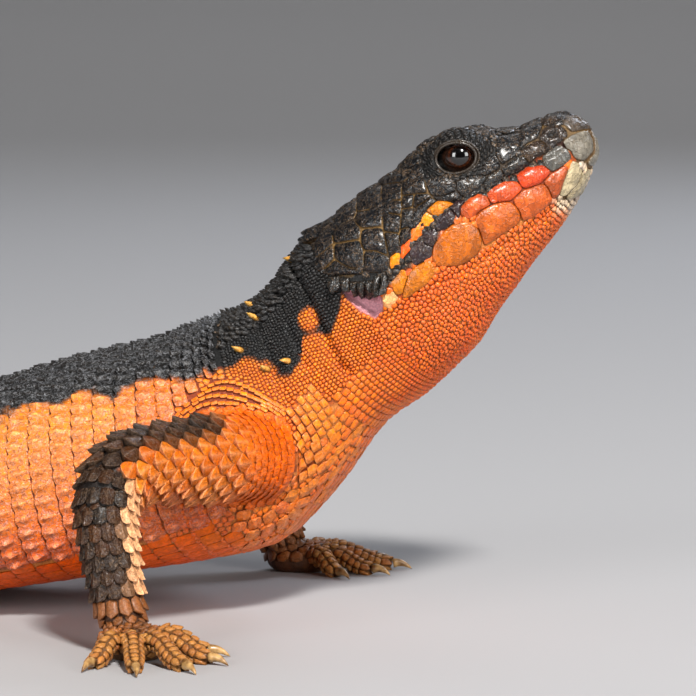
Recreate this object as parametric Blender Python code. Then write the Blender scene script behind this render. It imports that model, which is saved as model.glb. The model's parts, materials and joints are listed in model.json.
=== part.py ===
# Mozambique girdled lizard, a still life-size model: the front of the body raised on the forelegs,
# the belly, the hind feet and the tail lying on the floor. It faces +X, and its left side is +Y.
# Lengths are in millimetres until a mesh is made, where MM turns them to metres.

import bmesh
import bpy
import numpy as np

MM = 0.001
GAP = 0.3  # kept between two nodes that meet face to face

# The outline of head, body and tail, from the snout to the tail tip, as cross-sections.
# Each is the top point (x, z), the lowest point (x, z), half the width, how square the section is
# above and below its widest place, and how far up from the lowest point that place lies.
SECTIONS = (
    # top x, top z, low x, low z, half width, power above, power below, widest at
    (47.9, 69.3, 49.5, 64.9, 3.0, 2.3, 2.3, 0.50),
    (45.5, 70.5, 48.9, 63.5, 4.4, 2.6, 2.3, 0.50),
    (42.0, 70.0, 47.4, 60.2, 5.8, 2.9, 2.3, 0.52),
    (38.5, 68.6, 45.4, 56.8, 7.5, 3.3, 2.3, 0.54),
    (33.6, 68.2, 42.5, 52.8, 9.6, 4.2, 2.3, 0.52),
    (29.3, 68.2, 40.2, 49.9, 11.3, 4.2, 2.2, 0.50),
    (25.6, 66.4, 38.1, 46.9, 12.7, 3.3, 2.2, 0.50),
    (21.3, 62.6, 35.5, 43.3, 13.8, 2.7, 2.1, 0.50),
    (15.8, 58.8, 32.6, 38.6, 14.5, 2.6, 2.1, 0.52),
    (11.4, 55.2, 29.5, 35.4, 14.3, 2.5, 2.1, 0.54),
    (7.4, 51.2, 25.6, 31.6, 13.3, 2.3, 2.1, 0.54),
    (3.6, 46.1, 19.6, 27.2, 13.4, 2.1, 2.1, 0.50),
    (-0.8, 42.8, 12.8, 18.1, 15.6, 2.1, 2.2, 0.46),
    (-7.4, 40.6, 4.4, 9.9, 18.6, 2.1, 2.4, 0.44),
    (-13.2, 38.3, -4.5, 7.5, 20.4, 2.1, 2.5, 0.43),
    (-20.6, 36.4, -13.3, 6.0, 21.8, 2.1, 2.6, 0.42),
    (-28.2, 34.4, -21.8, 4.6, 22.9, 2.1, 2.6, 0.42),
    (-36.3, 31.8, -31.5, 3.0, 23.6, 2.1, 2.6, 0.42),
    (-45.0, 28.9, -42.0, 1.2, 24.0, 2.1, 2.6, 0.42),
    (-54.0, 26.2, -53.0, -0.3, 23.6, 2.1, 2.6, 0.42),
    (-63.0, 23.9, -63.0, -0.8, 22.2, 2.1, 2.6, 0.42),
    (-72.0, 21.9, -72.0, -0.8, 19.4, 2.1, 2.6, 0.43),
    (-80.0, 19.7, -80.0, -0.6, 15.8, 2.1, 2.6, 0.44),
    (-88.0, 17.3, -88.0, -0.5, 12.6, 2.1, 2.5, 0.45),
    (-96.0, 15.2, -96.0, -0.5, 10.6, 2.1, 2.4, 0.46),
    (-106.0, 13.4, -106.0, -0.5, 9.4, 2.1, 2.4, 0.46),
    (-120.0, 11.8, -120.0, -0.5, 8.4, 2.1, 2.4, 0.46),
    (-140.0, 10.1, -140.0, -0.4, 7.2, 2.1, 2.4, 0.46),
    (-165.0, 8.2, -165.0, -0.4, 5.8, 2.1, 2.4, 0.46),
    (-190.0, 6.5, -190.0, -0.3, 4.5, 2.1, 2.4, 0.46),
    (-215.0, 4.9, -215.0, -0.2, 3.3, 2.1, 2.3, 0.46),
    (-238.0, 3.4, -238.0, -0.1, 2.2, 2.0, 2.2, 0.46),
    (-253.0, 2.3, -253.0, 0.0, 1.4, 2.0, 2.0, 0.46),
)

# Where the trunk and tail are parted, as places of the top line in x.
HEAD_END = 9.4
NECK_END = 1.6
CHEST_END = -29.0
BELLY_END = -62.0
PELVIS_END = -93.0
TAIL_CUTS = (-128.0, -168.0, -210.0)
TAIL_TIP = -252.0

# The plan curve: behind SWAY_START the body bends to its left, then the tail to its right.
SWAY_START = -30.0
HIP_SWAY_DEG = 9.0
HIP_SWAY_LENGTH = 110.0
TAIL_SWAY_DEG = 27.0
TAIL_SWAY_LENGTH = 132.0

# Head
EYE = (31.4, 7.4, 64.7)
EYE_RADIUS = 3.2
LID_THICKNESS = 0.65
LID_SHAPE = (1.06, 0.96, 1.0)
EYE_OPENING = (2.7, 1.95)
EYE_OPENING_TILT_DEG = 8.0
NOSTRIL = (43.9, 4.6, 67.7)
NOSTRIL_RADIUS = 0.55
EAR = (20.0, 44.6)
MOUTH_CORNER = (32.2, 58.7)
MOUTH_LINE = ((58.0, 73.0), (48.3, 68.0), (39.9, 63.7), MOUTH_CORNER, (21.1, 42.8), (10.0, 27.0))

# Girdles of scutes round the trunk and whorls of spines round the tail
GIRDLE = 5.6
TRUNK_SCUTES = 7  # on each side from the back's middle to the belly's edge
BELLY_PLATES = 2  # on each side
BELLY_EDGE = 0.68  # share of the half girth, from the back's middle to the belly's edge
TAIL_WHORL = 6.2
TAIL_SPINES = 5  # on each side of a whorl

# Legs: joints as (x, y, z) of the right side, and the tube's radius at each
RIGHT_FORELEG = ((5.0, -11.0, 23.4), (-11.6, -39.3, 24.2), (-8.4, -41.0, 7.2))
LEFT_FORELEG = ((5.0, 11.0, 23.0), (-16.0, 40.5, 19.5), (-5.5, 37.0, 6.4))
RIGHT_HINDLEG = ((-72.0, -9.0, 11.0), (-55.0, -38.0, 14.5), (-77.0, -50.0, 6.0))
LEFT_HINDLEG = ((-74.0, 9.0, 11.0), (-63.0, 39.5, 14.0), (-88.0, 49.0, 6.0))
FORELEG_RADII = (6.6, 4.8, 4.0, 3.4)
HINDLEG_RADII = (7.4, 4.8, 4.6, 3.2)
LEGS = (
    (RIGHT_FORELEG, FORELEG_RADII),
    (LEFT_FORELEG, FORELEG_RADII),
    (RIGHT_HINDLEG, HINDLEG_RADII),
    (LEFT_HINDLEG, HINDLEG_RADII),
)
FORELEG_BEND = 9.0
HINDLEG_BEND = 8.0
LEG_WHORL = 4.4
LEG_SIDES = 16

# Feet: for each toe its angle from the middle of the foot, inner toe first, and its length
HAND_TOES = ((58.0, 7.0), (28.0, 9.6), (2.0, 11.2), (-24.0, 11.0), (-54.0, 8.0))
FOOT_TOES = ((52.0, 7.0), (28.0, 10.0), (8.0, 13.0), (-12.0, 15.0), (-48.0, 10.0))
PALM = (5.6, 4.5, 2.7)
SOLE = (7.6, 4.8, 2.9)
TOE_RADIUS = 1.35
TOE_SIDES = 6
CLAW_LENGTH = 2.7

DARK = ((0.055, 0.050, 0.048), 0.45)
ORANGE = ((0.80, 0.25, 0.04), 0.5)
BROWN = ((0.20, 0.12, 0.06), 0.5)
HORN = ((0.45, 0.32, 0.18), 0.35)
EYE_BROWN = ((0.02, 0.012, 0.008), 0.08)


def clear_scene():
    for old in list(bpy.data.objects):
        bpy.data.objects.remove(old, do_unlink=True)


def smooth_step(low, high, value):
    share = np.clip((np.asarray(value, float) - low) / (high - low), 0.0, 1.0)
    return share * share * (3.0 - 2.0 * share)


def unit(vector):
    vector = np.asarray(vector, float)
    return vector / np.maximum(np.linalg.norm(vector, axis=-1, keepdims=True), 1e-12)


def slopes(knots, values):
    """The slope at each knot of a smooth curve through uneven knots."""
    step = np.diff(knots)[:, None]
    rise = np.diff(values, axis=0) / step
    middle = (rise[:-1] * step[1:] + rise[1:] * step[:-1]) / (step[:-1] + step[1:])
    return np.vstack([rise[:1], middle, rise[-1:]])


def curve_at(knots, values, tangents, place):
    """Values of the cubic curve at one place along its knots."""
    i = int(np.clip(np.searchsorted(knots, place) - 1, 0, len(knots) - 2))
    span = knots[i + 1] - knots[i]
    t = (place - knots[i]) / span
    return (
        values[i] * (2 * t**3 - 3 * t**2 + 1)
        + tangents[i] * span * (t**3 - 2 * t**2 + t)
        + values[i + 1] * (3 * t**2 - 2 * t**3)
        + tangents[i + 1] * span * (t**3 - t**2)
    )


TABLE = np.array(SECTIONS)
MIDDLES = (TABLE[:, 0:2] + TABLE[:, 2:4]) / 2
ALONG = np.concatenate([[0.0], np.cumsum(np.linalg.norm(np.diff(MIDDLES, axis=0), axis=1))])
TANGENTS = slopes(ALONG, TABLE)


def section(along):
    return curve_at(ALONG, TABLE, TANGENTS, along)


def along_at_top(x):
    """How far along the body the top line passes x."""
    places = np.linspace(0.0, ALONG[-1], 3000)
    tops = np.array([section(p)[0] for p in places])
    return float(np.interp(-x, -tops, places))


def plan_curve():
    """The swaying middle line seen from above: how far back, its x and y, and its heading."""
    back = np.arange(0.0, 260.0, 1.0)
    hips = np.radians(HIP_SWAY_DEG) * np.sin(np.pi * back / HIP_SWAY_LENGTH)
    tail = -np.radians(TAIL_SWAY_DEG) * np.sin(np.pi * (back - HIP_SWAY_LENGTH) / TAIL_SWAY_LENGTH)
    heading = np.where(back < HIP_SWAY_LENGTH, hips, tail)
    x = SWAY_START - np.concatenate([[0.0], np.cumsum(np.cos(heading[:-1]))])
    y = np.concatenate([[0.0], np.cumsum(np.sin(heading[:-1]))])
    return back, x, y, heading


PLAN = plan_curve()


def sway(points):
    """Bends the straight body to its plan curve; what lies ahead of SWAY_START stays."""
    points = np.array(points, float)
    back = SWAY_START - points[..., 0]
    bent = back > 0
    heading = np.interp(back, PLAN[0], PLAN[3])
    x = np.interp(back, PLAN[0], PLAN[1]) + points[..., 1] * np.sin(heading)
    y = np.interp(back, PLAN[0], PLAN[2]) + points[..., 1] * np.cos(heading)
    points[..., 0] = np.where(bent, x, points[..., 0])
    points[..., 1] = np.where(bent, y, points[..., 1])
    return points


def half_section(along, shares):
    """Points of the left half of a section, at shares of its half girth from the top down."""
    top_x, top_z, low_x, low_z, width, above, below, widest = section(along)
    angle = np.linspace(0.0, np.pi, 121)
    power = np.where(angle < np.pi / 2, 2 / above, 2 / below)
    side = width * np.abs(np.sin(angle)) ** power
    rise = np.sign(np.cos(angle)) * np.abs(np.cos(angle)) ** power
    height = widest + rise * np.where(rise > 0, 1 - widest, widest)
    low, top = np.array([low_x, 0.0, low_z]), np.array([top_x, 0.0, top_z])
    points = low + height[:, None] * (top - low) + side[:, None] * np.array([0.0, 1.0, 0.0])
    steps = np.linalg.norm(np.diff(points, axis=0), axis=1)
    girth = np.concatenate([[0.0], np.cumsum(steps)])
    return np.stack([np.interp(shares, girth / girth[-1], points[:, k]) for k in range(3)], axis=1)


def ring(along, shares):
    """A closed section, from the top down the left side and up the right, without relief."""
    left = half_section(along, shares)
    right = left[-2:0:-1] * np.array([1.0, -1.0, 1.0])
    return np.vstack([left, right])


def outward(points):
    """The normals of a ring within its own plane."""
    tangent = unit(np.roll(points, -1, axis=0) - np.roll(points, 1, axis=0))
    plane = unit(np.cross(points[0] - points[len(points) // 2], [0.0, 1.0, 0.0]))
    normal = np.cross(tangent, plane)
    centre = points.mean(axis=0)
    turned = np.sign(np.sum((points - centre) * normal))
    return normal * turned


def near_leg_roots(points):
    """1 away from the legs' roots and 0 on them, where the skin is smooth."""
    keep = np.ones(len(points))
    for leg, radii in LEGS:
        root, knee = np.array(leg[0]), np.array(leg[1])
        axis = unit(knee - root)
        offset = points - root
        off_axis = np.linalg.norm(offset - (offset @ axis)[:, None] * axis, axis=1)
        facing = offset @ axis > 0
        bare = radii[0] + 1.8
        keep *= np.where(facing, smooth_step(bare, bare + 3.5, off_axis), 1.0)
    return keep


def shares_of(scutes, plates, edge):
    """Seams and keels along the half girth: scutes down to the edge, plates below it."""
    upper = np.linspace(0.0, edge, 2 * scutes + 1)
    return np.concatenate([upper, np.linspace(edge, 1.0, 2 * plates + 1)[1:]]) if plates else upper


def raised(points, along, lift, push):
    """A ring lifted along its normals and pushed back along the body."""
    behind = ring_like(points, along + 1.0) - ring_like(points, along)
    return points + outward(points) * lift[:, None] + unit(behind) * push[:, None]


def ring_like(points, along):
    half = len(points) // 2
    return ring(along, RING_SHARES[half])


TRUNK_SHARES = shares_of(TRUNK_SCUTES, BELLY_PLATES, BELLY_EDGE)
TAIL_SHARES = shares_of(TAIL_SPINES, 0, 1.0)
HEAD_SHARES = np.linspace(0.0, 1.0, 17)
RING_SHARES = {len(s) - 1: s for s in (TRUNK_SHARES, TAIL_SHARES, HEAD_SHARES)}


def mirrored(values):
    """Values of the left half, top to bottom, continued up the right side."""
    return np.concatenate([values, values[-2:0:-1]])


def trunk_rim(along, size):
    """The raised hind edge of one girdle: low at the seams, high and pointed at the keels."""
    points = ring(along, TRUNK_SHARES)
    keel = mirrored(np.arange(len(TRUNK_SHARES)) % 2)
    flank = mirrored(smooth_step(0.12, 0.42, TRUNK_SHARES))
    belly = mirrored(np.where(TRUNK_SHARES > BELLY_EDGE + 0.02, 1.0, 0.0))
    lift = np.where(belly > 0, 0.25, 0.35 + keel * (0.35 + 0.4 * flank))
    push = np.where(belly > 0, 0.0, keel * (0.5 + 0.9 * flank))
    keep = near_leg_roots(points) * size
    return raised(points, along, lift * keep, push * keep)


def tail_rim(along, size):
    """The hind edge of one whorl: long spines above and at the sides, short below."""
    points = ring(along, TAIL_SHARES)
    keel = mirrored(np.arange(len(TAIL_SHARES)) % 2)
    under = mirrored(smooth_step(0.66, 0.86, TAIL_SHARES))
    lift = 0.3 + keel * (1.7 - 1.4 * under)
    push = 0.2 + keel * (2.4 - 1.4 * under)
    return raised(points, along, lift * size, push * size)


def nape_step(points, along, start):
    """The neck starts a little below the head's hind edge."""
    shares = mirrored(TRUNK_SHARES)
    sink = 1.1 * np.exp(-(along - start) / 4.5) * (1.0 - smooth_step(0.45, 0.75, shares))
    return points - outward(points) * sink[:, None]


def ring_plane(along):
    """The unit normal, forward, of the plane of a section."""
    top_x, top_z, low_x, low_z = section(along)[:4]
    return unit(np.cross([0.0, 1.0, 0.0], [top_x - low_x, 0.0, top_z - low_z]))


def mesh_object(name, points, faces, material):
    mesh = bpy.data.meshes.new(name)
    mesh.from_pydata((np.asarray(points) * MM).tolist(), [], [list(f) for f in faces])
    form = bmesh.new()
    form.from_mesh(mesh)
    bmesh.ops.recalc_face_normals(form, faces=form.faces)
    form.to_mesh(mesh)
    form.free()
    obj = bpy.data.objects.new(name, mesh)
    bpy.context.scene.collection.objects.link(obj)
    if material is not None:
        mesh.materials.append(material)
    return obj


def loft(name, rings, material, tip=None, start_tip=None):
    """A closed body through rings of equal count, flat at its ends or drawn to a tip."""
    count = len(rings[0])
    points = np.vstack(rings)
    faces = []
    for r in range(len(rings) - 1):
        for j in range(count):
            k = (j + 1) % count
            low, high = r * count, (r + 1) * count
            faces.append((low + j, low + k, high + k, high + j))
    last = (len(rings) - 1) * count
    if start_tip is None:
        faces.append(range(count - 1, -1, -1))
    else:
        points = np.vstack([points, start_tip])
        faces += [(len(points) - 1, (j + 1) % count, j) for j in range(count)]
    if tip is None:
        faces.append(range(last, last + count))
    else:
        points = np.vstack([points, tip])
        faces += [(len(points) - 1, last + j, last + (j + 1) % count) for j in range(count)]
    return mesh_object(name, points, faces, material)


def apply_boolean(obj, others, operation, solver="EXACT"):
    """Joins or cuts the object with all the others at once, applies it, and removes them."""
    group = bpy.data.collections.new("operands")
    bpy.context.scene.collection.children.link(group)
    for other in others:
        bpy.context.scene.collection.objects.unlink(other)
        group.objects.link(other)
    boolean = obj.modifiers.new("boolean", "BOOLEAN")
    boolean.operation = operation
    boolean.solver = solver
    boolean.operand_type = "COLLECTION"
    boolean.collection = group
    bpy.context.view_layer.update()
    graph = bpy.context.evaluated_depsgraph_get()
    made = bpy.data.meshes.new_from_object(obj.evaluated_get(graph))
    obj.modifiers.clear()
    old = obj.data
    obj.data = made
    bpy.data.meshes.remove(old)
    for other in others:
        bpy.data.objects.remove(other, do_unlink=True)
    bpy.data.collections.remove(group)
    keep_largest(obj)


def keep_largest(obj):
    """Keeps the largest closed surface of a mesh and drops every scrap."""
    form = bmesh.new()
    form.from_mesh(obj.data)
    bmesh.ops.remove_doubles(form, verts=form.verts, dist=2e-6)
    unseen, shells = set(form.faces), []
    while unseen:
        stack, shell = [unseen.pop()], []
        while stack:
            face = stack.pop()
            shell.append(face)
            for edge in face.edges:
                for other in edge.link_faces:
                    if other in unseen:
                        unseen.discard(other)
                        stack.append(other)
        shells.append(shell)
    shells.sort(key=lambda shell: sum(face.calc_area() for face in shell))
    scraps = [face for shell in shells[:-1] for face in shell]
    bmesh.ops.delete(form, geom=scraps, context="FACES")
    form.to_mesh(obj.data)
    form.free()


def on_floor(obj):
    """Presses what hangs under the floor flat against it."""
    for vertex in obj.data.vertices:
        vertex.co.z = max(vertex.co.z, 0.0)


def make_material(name, look):
    (red, green, blue), roughness = look
    material = bpy.data.materials.new(name)
    material.use_nodes = True
    shader = material.node_tree.nodes["Principled BSDF"]
    shader.inputs["Base Color"].default_value = (red, green, blue, 1.0)
    shader.inputs["Roughness"].default_value = roughness
    material.diffuse_color = (red, green, blue, 1.0)
    return material


def surface(along, share, side):
    """A point of the trunk's smooth surface, its outward normal and its backward direction."""

    def point(a, f):
        return half_section(a, [f])[0] * np.array([1.0, side, 1.0])

    here = point(along, share)
    back = unit(point(along + 0.5, share) - here)
    down = unit(point(along, min(share + 0.01, 1.0)) - point(along, share - 0.01))
    normal = unit(np.cross(down, back) * side)
    return here, normal, back


def side_place(x, z):
    """How far along the body, and at which share of the half girth, its side passes a point."""
    shares = np.linspace(0.02, 0.98, 49)
    places = np.linspace(0.5, 90.0, 360)
    offsets = np.array([half_section(p, shares)[:, [0, 2]] for p in places]) - (x, z)
    row, column = np.unravel_index(np.argmin((offsets**2).sum(axis=2)), offsets.shape[:2])
    return places[row], shares[column]


def spine(name, root, normal, back, length, width, rise, reach=None):
    """A flat four-sided spine, its root sunk in the surface."""
    reach = width * 0.6 if reach is None else reach
    across = unit(np.cross(normal, back))
    sink = root - normal * 0.9
    corners = [
        sink + across * width * 0.9,
        sink + back * reach,
        sink - across * width * 0.9,
        sink - back * width * 1.2,
    ]
    roof = root + normal * 0.30 * width + back * 0.15 * length
    apex = root + back * length + normal * rise
    points = [*corners, roof, apex]
    faces = [(3, 2, 1, 0), (3, 0, 4), (2, 3, 4), (0, 5, 4), (5, 2, 4), (0, 1, 5), (1, 2, 5)]
    return mesh_object(name, points, faces, None)


def head_form(points):
    """The swellings and hollows of the head's sides, the same left and right."""
    points = np.array(points, float)
    side = np.sign(points[:, 1])
    off_middle = smooth_step(2.0, 6.0, np.abs(points[:, 1]))

    def swell(x, z, reach, amount):
        near = np.exp(-((points[:, 0] - x) ** 2 + (points[:, 2] - z) ** 2) / reach**2)
        points[:, 1] += side * near * amount * off_middle

    swell(38.6, 66.2, 2.6, -0.8)  # the hollow ahead of the eye
    swell(33.0, 51.5, 4.6, 0.9)  # the plates of the lower jaw
    swell(21.5, 53.5, 5.0, 0.8)  # the jaw's muscle at the temple
    swell(EAR[0], EAR[1], 2.5, -2.0)  # the ear's pit
    return points


def prism(name, outline):
    """A closed slab whose outline in x and z runs far past both sides of the head."""
    left = [(x, 30.0, z) for x, z in outline]
    right = [(x, -30.0, z) for x, z in outline]
    count = len(outline)
    faces = [range(count), range(2 * count - 1, count - 1, -1)]
    faces += [(j, (j + 1) % count, count + (j + 1) % count, count + j) for j in range(count)]
    return mesh_object(name, left + right, faces, None)


def slab(name, centre, reach, low, high):
    """A flat box between two heights, to cut away what would lie under the floor."""
    corners = [(-reach, -reach), (reach, -reach), (reach, reach), (-reach, reach)]
    points = [(centre[0] + x, centre[1] + y, z) for z in (low, high) for x, y in corners]
    faces = [(3, 2, 1, 0), (4, 5, 6, 7), *[(j, (j + 1) % 4, 4 + (j + 1) % 4, 4 + j) for j in range(4)]]
    return mesh_object(name, points, faces, None)


def ball(name, centre, radius, sides, rows, scale=(1.0, 1.0, 1.0), material=None):
    form = bmesh.new()
    bmesh.ops.create_uvsphere(form, u_segments=sides, v_segments=rows, radius=radius)
    mesh = bpy.data.meshes.new(name)
    form.to_mesh(mesh)
    form.free()
    for vertex in mesh.vertices:
        vertex.co = [MM * (centre[k] + vertex.co[k] * scale[k]) for k in range(3)]
    obj = bpy.data.objects.new(name, mesh)
    bpy.context.scene.collection.objects.link(obj)
    if material is not None:
        mesh.materials.append(material)
    return obj


def opening(name, side):
    """The almond between the lids, as an upright-sided cutter outside the eye's middle."""
    turn = np.radians(EYE_OPENING_TILT_DEG)
    angle = np.linspace(0.0, 2 * np.pi, 14, endpoint=False)
    wide = EYE_OPENING[0] * np.cos(angle)
    high = EYE_OPENING[1] * np.sin(angle)
    x = EYE[0] + wide * np.cos(turn) - high * np.sin(turn)
    z = EYE[2] + wide * np.sin(turn) + high * np.cos(turn)
    rings = []
    for out, scale in ((0.6, 0.9), (3.2, 1.0), (8.0, 1.3)):
        rings.append(
            np.stack(
                [
                    EYE[0] + (x - EYE[0]) * scale,
                    np.full(len(x), side * (EYE[1] + out)),
                    EYE[2] + (z - EYE[2]) * scale,
                ],
                axis=1,
            )
        )
    return loft(name, rings, None)


def lid_domes():
    """The bulge of the lids over each eye."""
    made = []
    for side in (1.0, -1.0):
        centre = (EYE[0], side * EYE[1], EYE[2])
        made.append(ball("lids", centre, EYE_RADIUS + GAP + LID_THICKNESS, 18, 12, LID_SHAPE))
    return made


def head_cutters():
    """Eye sockets, lid openings and nostrils."""
    made = []
    for side, word in ((1.0, "left"), (-1.0, "right")):
        eye = (EYE[0], side * EYE[1], EYE[2])
        nostril = (NOSTRIL[0], side * (NOSTRIL[1] + 0.35), NOSTRIL[2])
        made.append(ball(f"socket_{word}", eye, EYE_RADIUS + GAP, 20, 12))
        made.append(opening(f"lid_opening_{word}", side))
        made.append(ball(f"nostril_{word}", nostril, NOSTRIL_RADIUS, 8, 6, (1.4, 2.2, 1.0)))
    return made


def build_head(start, end, materials):
    """Head and lower jaw, from one form parted along the mouth and the angle of the jaw."""
    places = np.concatenate([np.linspace(start, 12.0, 7, endpoint=False), np.linspace(12.0, end, 16)])
    whole = []
    for word in ("head", "lower_jaw"):
        rings = [head_form(ring(place, HEAD_SHARES)) for place in places]
        rings[-1] = rings[-1] + ring_plane(end) * GAP / 2
        front = rings[0].mean(axis=0)
        nose = front + (rings[0] - front) * 0.62 + ring_plane(start) * 0.55
        tip = front + ring_plane(start) * 0.75
        made = loft(word, [nose, *rings], materials[word], start_tip=tip)
        whole.append(made)
    away = np.array([-0.68, 0.73]) * (GAP / 2 + 0.01)
    line = np.array(MOUTH_LINE)
    below = [*(line + away), (10.0, 0.0), (70.0, 0.0)]
    above = [*(line - away), (-30.0, 27.0), (-30.0, 90.0), (58.0, 90.0)]
    upper, lower = whole
    apply_boolean(upper, [*lid_domes(), *head_spines(end)], "UNION")
    apply_boolean(upper, [prism("below_mouth", below), *head_cutters()], "DIFFERENCE")
    apply_boolean(lower, [prism("above_mouth", above)], "DIFFERENCE")
    return [upper, lower]


def head_spines(end):
    """The flat scutes at the back of the skull and the ribbed ones over the ear."""
    made = []
    for side in (1.0, -1.0):
        for number in range(3):
            root, normal, back = surface(end - 2.4, 0.055 + 0.115 * number, side)
            made.append(spine("occipital", root, normal, back, 4.2, 3.3, 1.0, 0.8))
        for number in range(9):
            row, column = divmod(number, 3)
            place = end - 4.6 - 3.7 * column - 0.9 * (row % 2)
            root, normal, back = surface(place, 0.21 + 0.085 * row, side)
            made.append(spine("temple_scute", root, normal, back, 2.7, 3.0 - 0.2 * column, 0.55, 1.2))
        for number in range(4):
            place, share = side_place(EAR[0] - 2.4 + 1.9 * number, EAR[1] + 3.3)
            root, normal, back = surface(min(place, end - 1.2), share, side)
            down = unit(back + np.array([0.0, 0.0, -1.0]) * 0.9)
            made.append(spine("ear_scute", root, normal, down, 2.9 - 0.2 * number, 1.5, 0.9, 0.2))
    return made


def build_eyes(material):
    eyes = []
    for side, word in ((1.0, "left"), (-1.0, "right")):
        centre = (EYE[0], side * EYE[1], EYE[2])
        eyes.append(ball(f"eye_{word}", centre, EYE_RADIUS, 12, 8, material=material))
    return eyes


def girdled(name, start, end, step, rim, shares, material, size=lambda along: 1.0, shape=None, tip=None):
    """A length of trunk or tail as girdles: each rises from a low root to a raised rim."""
    count = max(1, round((end - start) / step))
    edges = np.linspace(start, end, count + 1)
    rings = []
    for number in range(count):
        root, last = edges[number], edges[number + 1]
        rings.append(ring(root, shares))
        rings.append(rim(last - 0.07 * (last - root), size(last)))
    rings.append(ring(end, shares))
    if shape is not None:
        places = [e for pair in zip(edges[:-1], edges[1:] - 0.4) for e in pair] + [end]
        rings = [shape(points, place) for points, place in zip(rings, places)]
    rings[0] = rings[0] - ring_plane(start) * GAP / 2
    rings[-1] = rings[-1] + ring_plane(end) * GAP / 2
    return loft(name, [sway(r) for r in rings], material, tip=None if tip is None else sway(tip))


def neck_spines(start, end):
    """The small thorns on the nape and the sides of the neck."""
    made = []
    for side in (1.0, -1.0):
        for row, place in enumerate(np.linspace(start + 3.2, end - 2.2, 3)):
            for number in range(3):
                share = 0.10 + 0.15 * number + 0.03 * (row % 2)
                root, normal, back = surface(place, share, side)
                length = 2.6 if (row + number) % 2 else 2.1
                made.append(spine("thorn", root, normal, back, length, 1.5, 0.9))
    return made


def build_trunk(materials):
    cuts = [along_at_top(x) for x in (HEAD_END, NECK_END, CHEST_END, BELLY_END, PELVIS_END)]
    head_end, neck_end, chest_end, belly_end, pelvis_end = cuts
    nodes = build_head(0.3, head_end, materials)
    neck = girdled(
        "neck", head_end, neck_end, 4.6, trunk_rim, TRUNK_SHARES, materials["neck"],
        size=lambda along: 0.6, shape=lambda points, along: nape_step(points, along, head_end),
    )
    apply_boolean(neck, neck_spines(head_end, neck_end), "UNION")
    nodes.append(neck)
    spans = (("chest", neck_end, chest_end), ("belly", chest_end, belly_end), ("pelvis", belly_end, pelvis_end))
    for word, start, end in spans:
        material = materials["torso"]
        nodes.append(girdled(f"torso_{word}", start, end, GIRDLE, trunk_rim, TRUNK_SHARES, material))
    tail_cuts = [pelvis_end, *[along_at_top(x) for x in TAIL_CUTS], along_at_top(TAIL_TIP)]
    for number, (start, end) in enumerate(zip(tail_cuts[:-1], tail_cuts[1:]), 1):
        nodes.append(tail_length(f"tail_{number}", start, end, pelvis_end, tail_cuts[-1], materials))
    return nodes


def tail_length(name, start, end, tail_start, tail_end, materials):
    def size(along):
        return 1.0 - 0.62 * (along - tail_start) / (tail_end - tail_start)

    middle = (start + end) / 2
    step = TAIL_WHORL * (0.72 + 0.28 * size(middle))
    tip = ring(tail_end, TAIL_SHARES).mean(axis=0) - ring_plane(tail_end) * 4.5 if end == tail_end else None
    return girdled(name, start, end, step, tail_rim, TAIL_SHARES, materials["tail"], size=size, tip=tip)


def bent_path(root, knee, end, bend, count):
    """Places along a leg: straight, round the elbow or knee, and straight again."""
    root, knee, end = (np.array(p, float) for p in (root, knee, end))
    before, after = unit(root - knee), unit(end - knee)
    first, second = knee + before * bend, knee + after * bend
    t = np.linspace(0.0, 1.0, 21)[:, None]
    turn = first * (1 - t) ** 2 + knee * 2 * t * (1 - t) + second * t**2
    points = np.vstack([root, turn, end])
    far = np.concatenate([[0.0], np.cumsum(np.linalg.norm(np.diff(points, axis=0), axis=1))])
    wanted = np.linspace(0.0, far[-1], count)
    return np.stack([np.interp(wanted, far, points[:, k]) for k in range(3)], axis=1)


class Leg:
    """The middle line of one leg, with its radius and the ring across it at any share."""

    def __init__(self, joints, radii, bend):
        self.path = bent_path(*joints, bend, 201)
        self.length = float(np.linalg.norm(np.diff(self.path, axis=0), axis=1).sum())
        self.radii = radii
        root, knee, end = (np.array(p, float) for p in joints)
        self.hinge = unit(np.cross(knee - root, end - knee))
        nearest = np.linalg.norm(self.path - knee, axis=1)
        self.knee = float(np.argmin(nearest)) / 200.0

    def frame(self, share):
        place = np.clip(share, 0.0, 1.0) * 200.0
        low = int(np.clip(np.floor(place), 0, 199))
        centre = self.path[low] + (self.path[low + 1] - self.path[low]) * (place - low)
        first, last = self.path[max(low - 6, 0)], self.path[min(low + 7, 200)]
        ahead = unit(last - first)
        across = unit(self.hinge - (self.hinge @ ahead) * ahead)
        return centre, ahead, across, np.cross(ahead, across)

    def radius(self, share):
        places = (0.0, self.knee * 0.75, self.knee + (1 - self.knee) * 0.3, 1.0)
        return float(np.interp(share, places, self.radii))

    def bending(self, share):
        """The way the middle line bends and how sharply, as 1 over the bend's radius."""
        step = 0.03
        middle = np.clip(share, step, 1.0 - step)
        before, here, after = (self.frame(middle + step * k)[0] for k in (-1, 0, 1))
        return (before - 2 * here + after) / (step * self.length) ** 2

    def ring(self, share, lift=0.0, push=0.0, sides=LEG_SIDES):
        centre, ahead, across, rise = self.frame(share)
        angle = 2 * np.pi * np.arange(sides) / sides
        spoke = np.cos(angle)[:, None] * across + np.sin(angle)[:, None] * rise
        reach = self.radius(share) + np.broadcast_to(lift, sides)
        inward = spoke @ self.bending(share)
        reach = np.minimum(reach, 0.8 / np.maximum(inward, 1e-3))
        push = push * np.minimum(1.0, 1.0 - reach * inward)
        return centre + spoke * reach[:, None] + ahead * push[:, None]


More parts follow.
